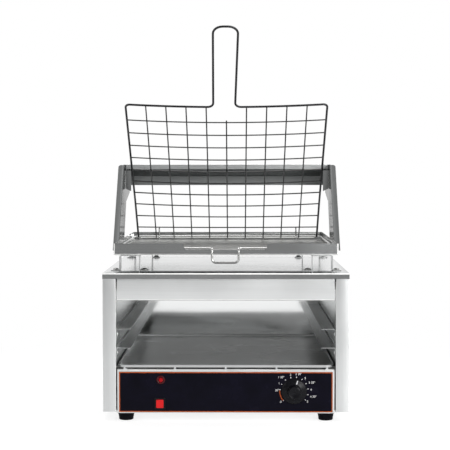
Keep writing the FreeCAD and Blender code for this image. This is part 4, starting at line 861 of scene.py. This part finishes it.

# Timer knob: black moulding, a skirt with a pale pointer and a ribbed cap to
# grip; it sits on the shaft's end, which it hides.
black_gloss = plain_material("KnobBlack", (0.004, 0.004, 0.006), 0.26, 0.2, 250.0, 0.15,
                             shine=0.15)
pointer_white = plain_material("PointerWhite", (0.75, 0.75, 0.77), 0.5, 0.05, 200.0)
knob_angle = math.radians(18.0)
skirt, cap, cap_out = 0.022, 0.0115, knob_high.y - knob_low.y
knob_profile = [(0.0, 0.0), (skirt - 0.0006, 0.0), (skirt, 0.0006), (skirt - 0.0006, 0.0014),
                (skirt - 0.0018, 0.0028), (skirt - 0.0026, 0.0032), (cap + 0.0016, 0.0034),
                (cap + 0.0004, 0.0042), (cap, 0.0052), (cap - 0.0004, cap_out - 0.0016),
                (cap - 0.0010, cap_out - 0.0005), (cap - 0.0022, cap_out),
                (cap - 0.0030, cap_out - 0.0003), (0.0, cap_out - 0.0006)]
knob = turned("timer_knob_moulding", knob_profile, 96, (dial_x, knob_high.y, dial_z), axis="Y")
ribs, rib_depth, ribs_from, ribs_to, rib_edge = 24, 0.0003, 0.006, cap_out - 0.0008, cap - 0.0015
for vert in knob.data.vertices:
    out = Vector((vert.co.x - dial_x, 0, vert.co.z - dial_z))
    if ribs_from < knob_high.y - vert.co.y < ribs_to and out.length > rib_edge:
        rib = rib_depth * math.cos(ribs * math.atan2(out.x, out.z))
        vert.co += out.normalized() * (rib - rib_depth)
knob.data.materials.append(black_gloss)
width, thick, length, middle, taper, sunk_to = 0.0022, 0.0008, 0.0062, 0.0162, 0.6, 0.0034
work = bmesh.new()
bmesh.ops.create_cube(work, size=1.0)
for vert in work.verts:
    vert.co = Vector((vert.co.x * width, vert.co.y * thick, vert.co.z * length + middle))
    vert.co.x *= 1.0 if vert.co.z < middle else taper
bmesh.ops.bevel(work, geom=work.edges[:], offset=0.0002, segments=2, affect="EDGES")
pointer = set_down("Pointer", work)
pointer.data.transform(Matrix.Translation((dial_x, knob_high.y - sunk_to, dial_z))
                       @ Matrix.Rotation(knob_angle, 4, "Y"))
pointer.data.materials.append(pointer_white)
stands_for(joined("timer_knob_whole", knob, pointer), "knob", "timer_knob")
paint_nodes(zinc, "timer_shaft")

# Pilot lamp: a turned bezel of dark red moulding with a bright red faceted lens
# pushed into it from behind.
bezel_low, bezel_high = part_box("pilot_bezel")
lamp_x, lamp_z = (bezel_low.x + bezel_high.x) / 2, (bezel_low.z + bezel_high.z) / 2
lens_hole, bezel_rim = 0.00395, 0.0076
bezel_profile = [(lens_hole, 0.0), (bezel_rim, 0.0), (bezel_rim, 0.0005), (0.0070, 0.0016),
                 (0.0062, 0.0023), (0.0052, 0.0024), (0.0044, 0.0020), (lens_hole, 0.0012),
                 (lens_hole, 0.0)]
bezel = turned("pilot_bezel_ring", bezel_profile, 48, (lamp_x, face_low.y, lamp_z), axis="Y")
smoked_red = plain_material("SmokedRed", (0.060, 0.003, 0.005), 0.15, 0.1, 100.0, shine=0.3)
bezel.data.materials.append(smoked_red)
stands_for(bezel, "base", "pilot_bezel")
red_lens = plain_material("RedLens", (0.36, 0.005, 0.008), 0.12, 0.08, 100.0, shine=0.12)
lens_bsdf = red_lens.node_tree.nodes["Principled BSDF"]
lens_bsdf.inputs["Emission Color"].default_value = (0.9, 0.02, 0.03, 1.0)
lens_bsdf.inputs["Emission Strength"].default_value = 0.05
lens_profile = [(0.0, -0.004), (0.0038, -0.004), (0.0038, 0.0022), (0.0034, 0.0032),
                (0.0024, 0.0040), (0.0, 0.0043)]
lens = turned("pilot_lens_dome", lens_profile, 12, (lamp_x, face_low.y, lamp_z), axis="Y")
lens.data.materials.append(red_lens)
stands_for(lens, "base", "pilot_lens")


# Start button: a square red cap with rounded edges and a hollowed face, in
# its black switch frame.
def square_cap(name, low, high, edge, rim, dish):
    work = bmesh.new()
    bmesh.ops.create_cube(work, size=1.0)
    for vert in work.verts:
        vert.co = Vector([low[i] + (vert.co[i] + 0.5) * (high[i] - low[i]) for i in range(3)])
    front = [face for face in work.faces if face.normal.y < -0.9]
    bmesh.ops.inset_region(work, faces=front, thickness=rim, depth=0.0)
    for vert in front[0].verts:
        vert.co.y += dish
    bmesh.ops.bevel(work, geom=work.edges[:], offset=edge, segments=3, profile=0.5,
                    affect="EDGES", clamp_overlap=True)
    piece = set_down(name, work)
    smooth_faces(piece.data, 50)
    return piece


button_low, button_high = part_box("start_button")
button = square_cap("start_button_cap", button_low, button_high, edge=0.0011, rim=0.0022,
                    dish=0.0005)
red_cap = plain_material("RedCap", (0.74, 0.020, 0.022), 0.35, 0.05, 80.0, 0.1, shine=0.15)
button.data.materials.append(red_cap)
stands_for(button, "button", "start_button")
switch_black = plain_material("SwitchBlack", (0.005, 0.005, 0.007), 0.4, 0.2, 200.0, 0.2,
                              shine=0.15)
paint_nodes(switch_black, "start_switch")
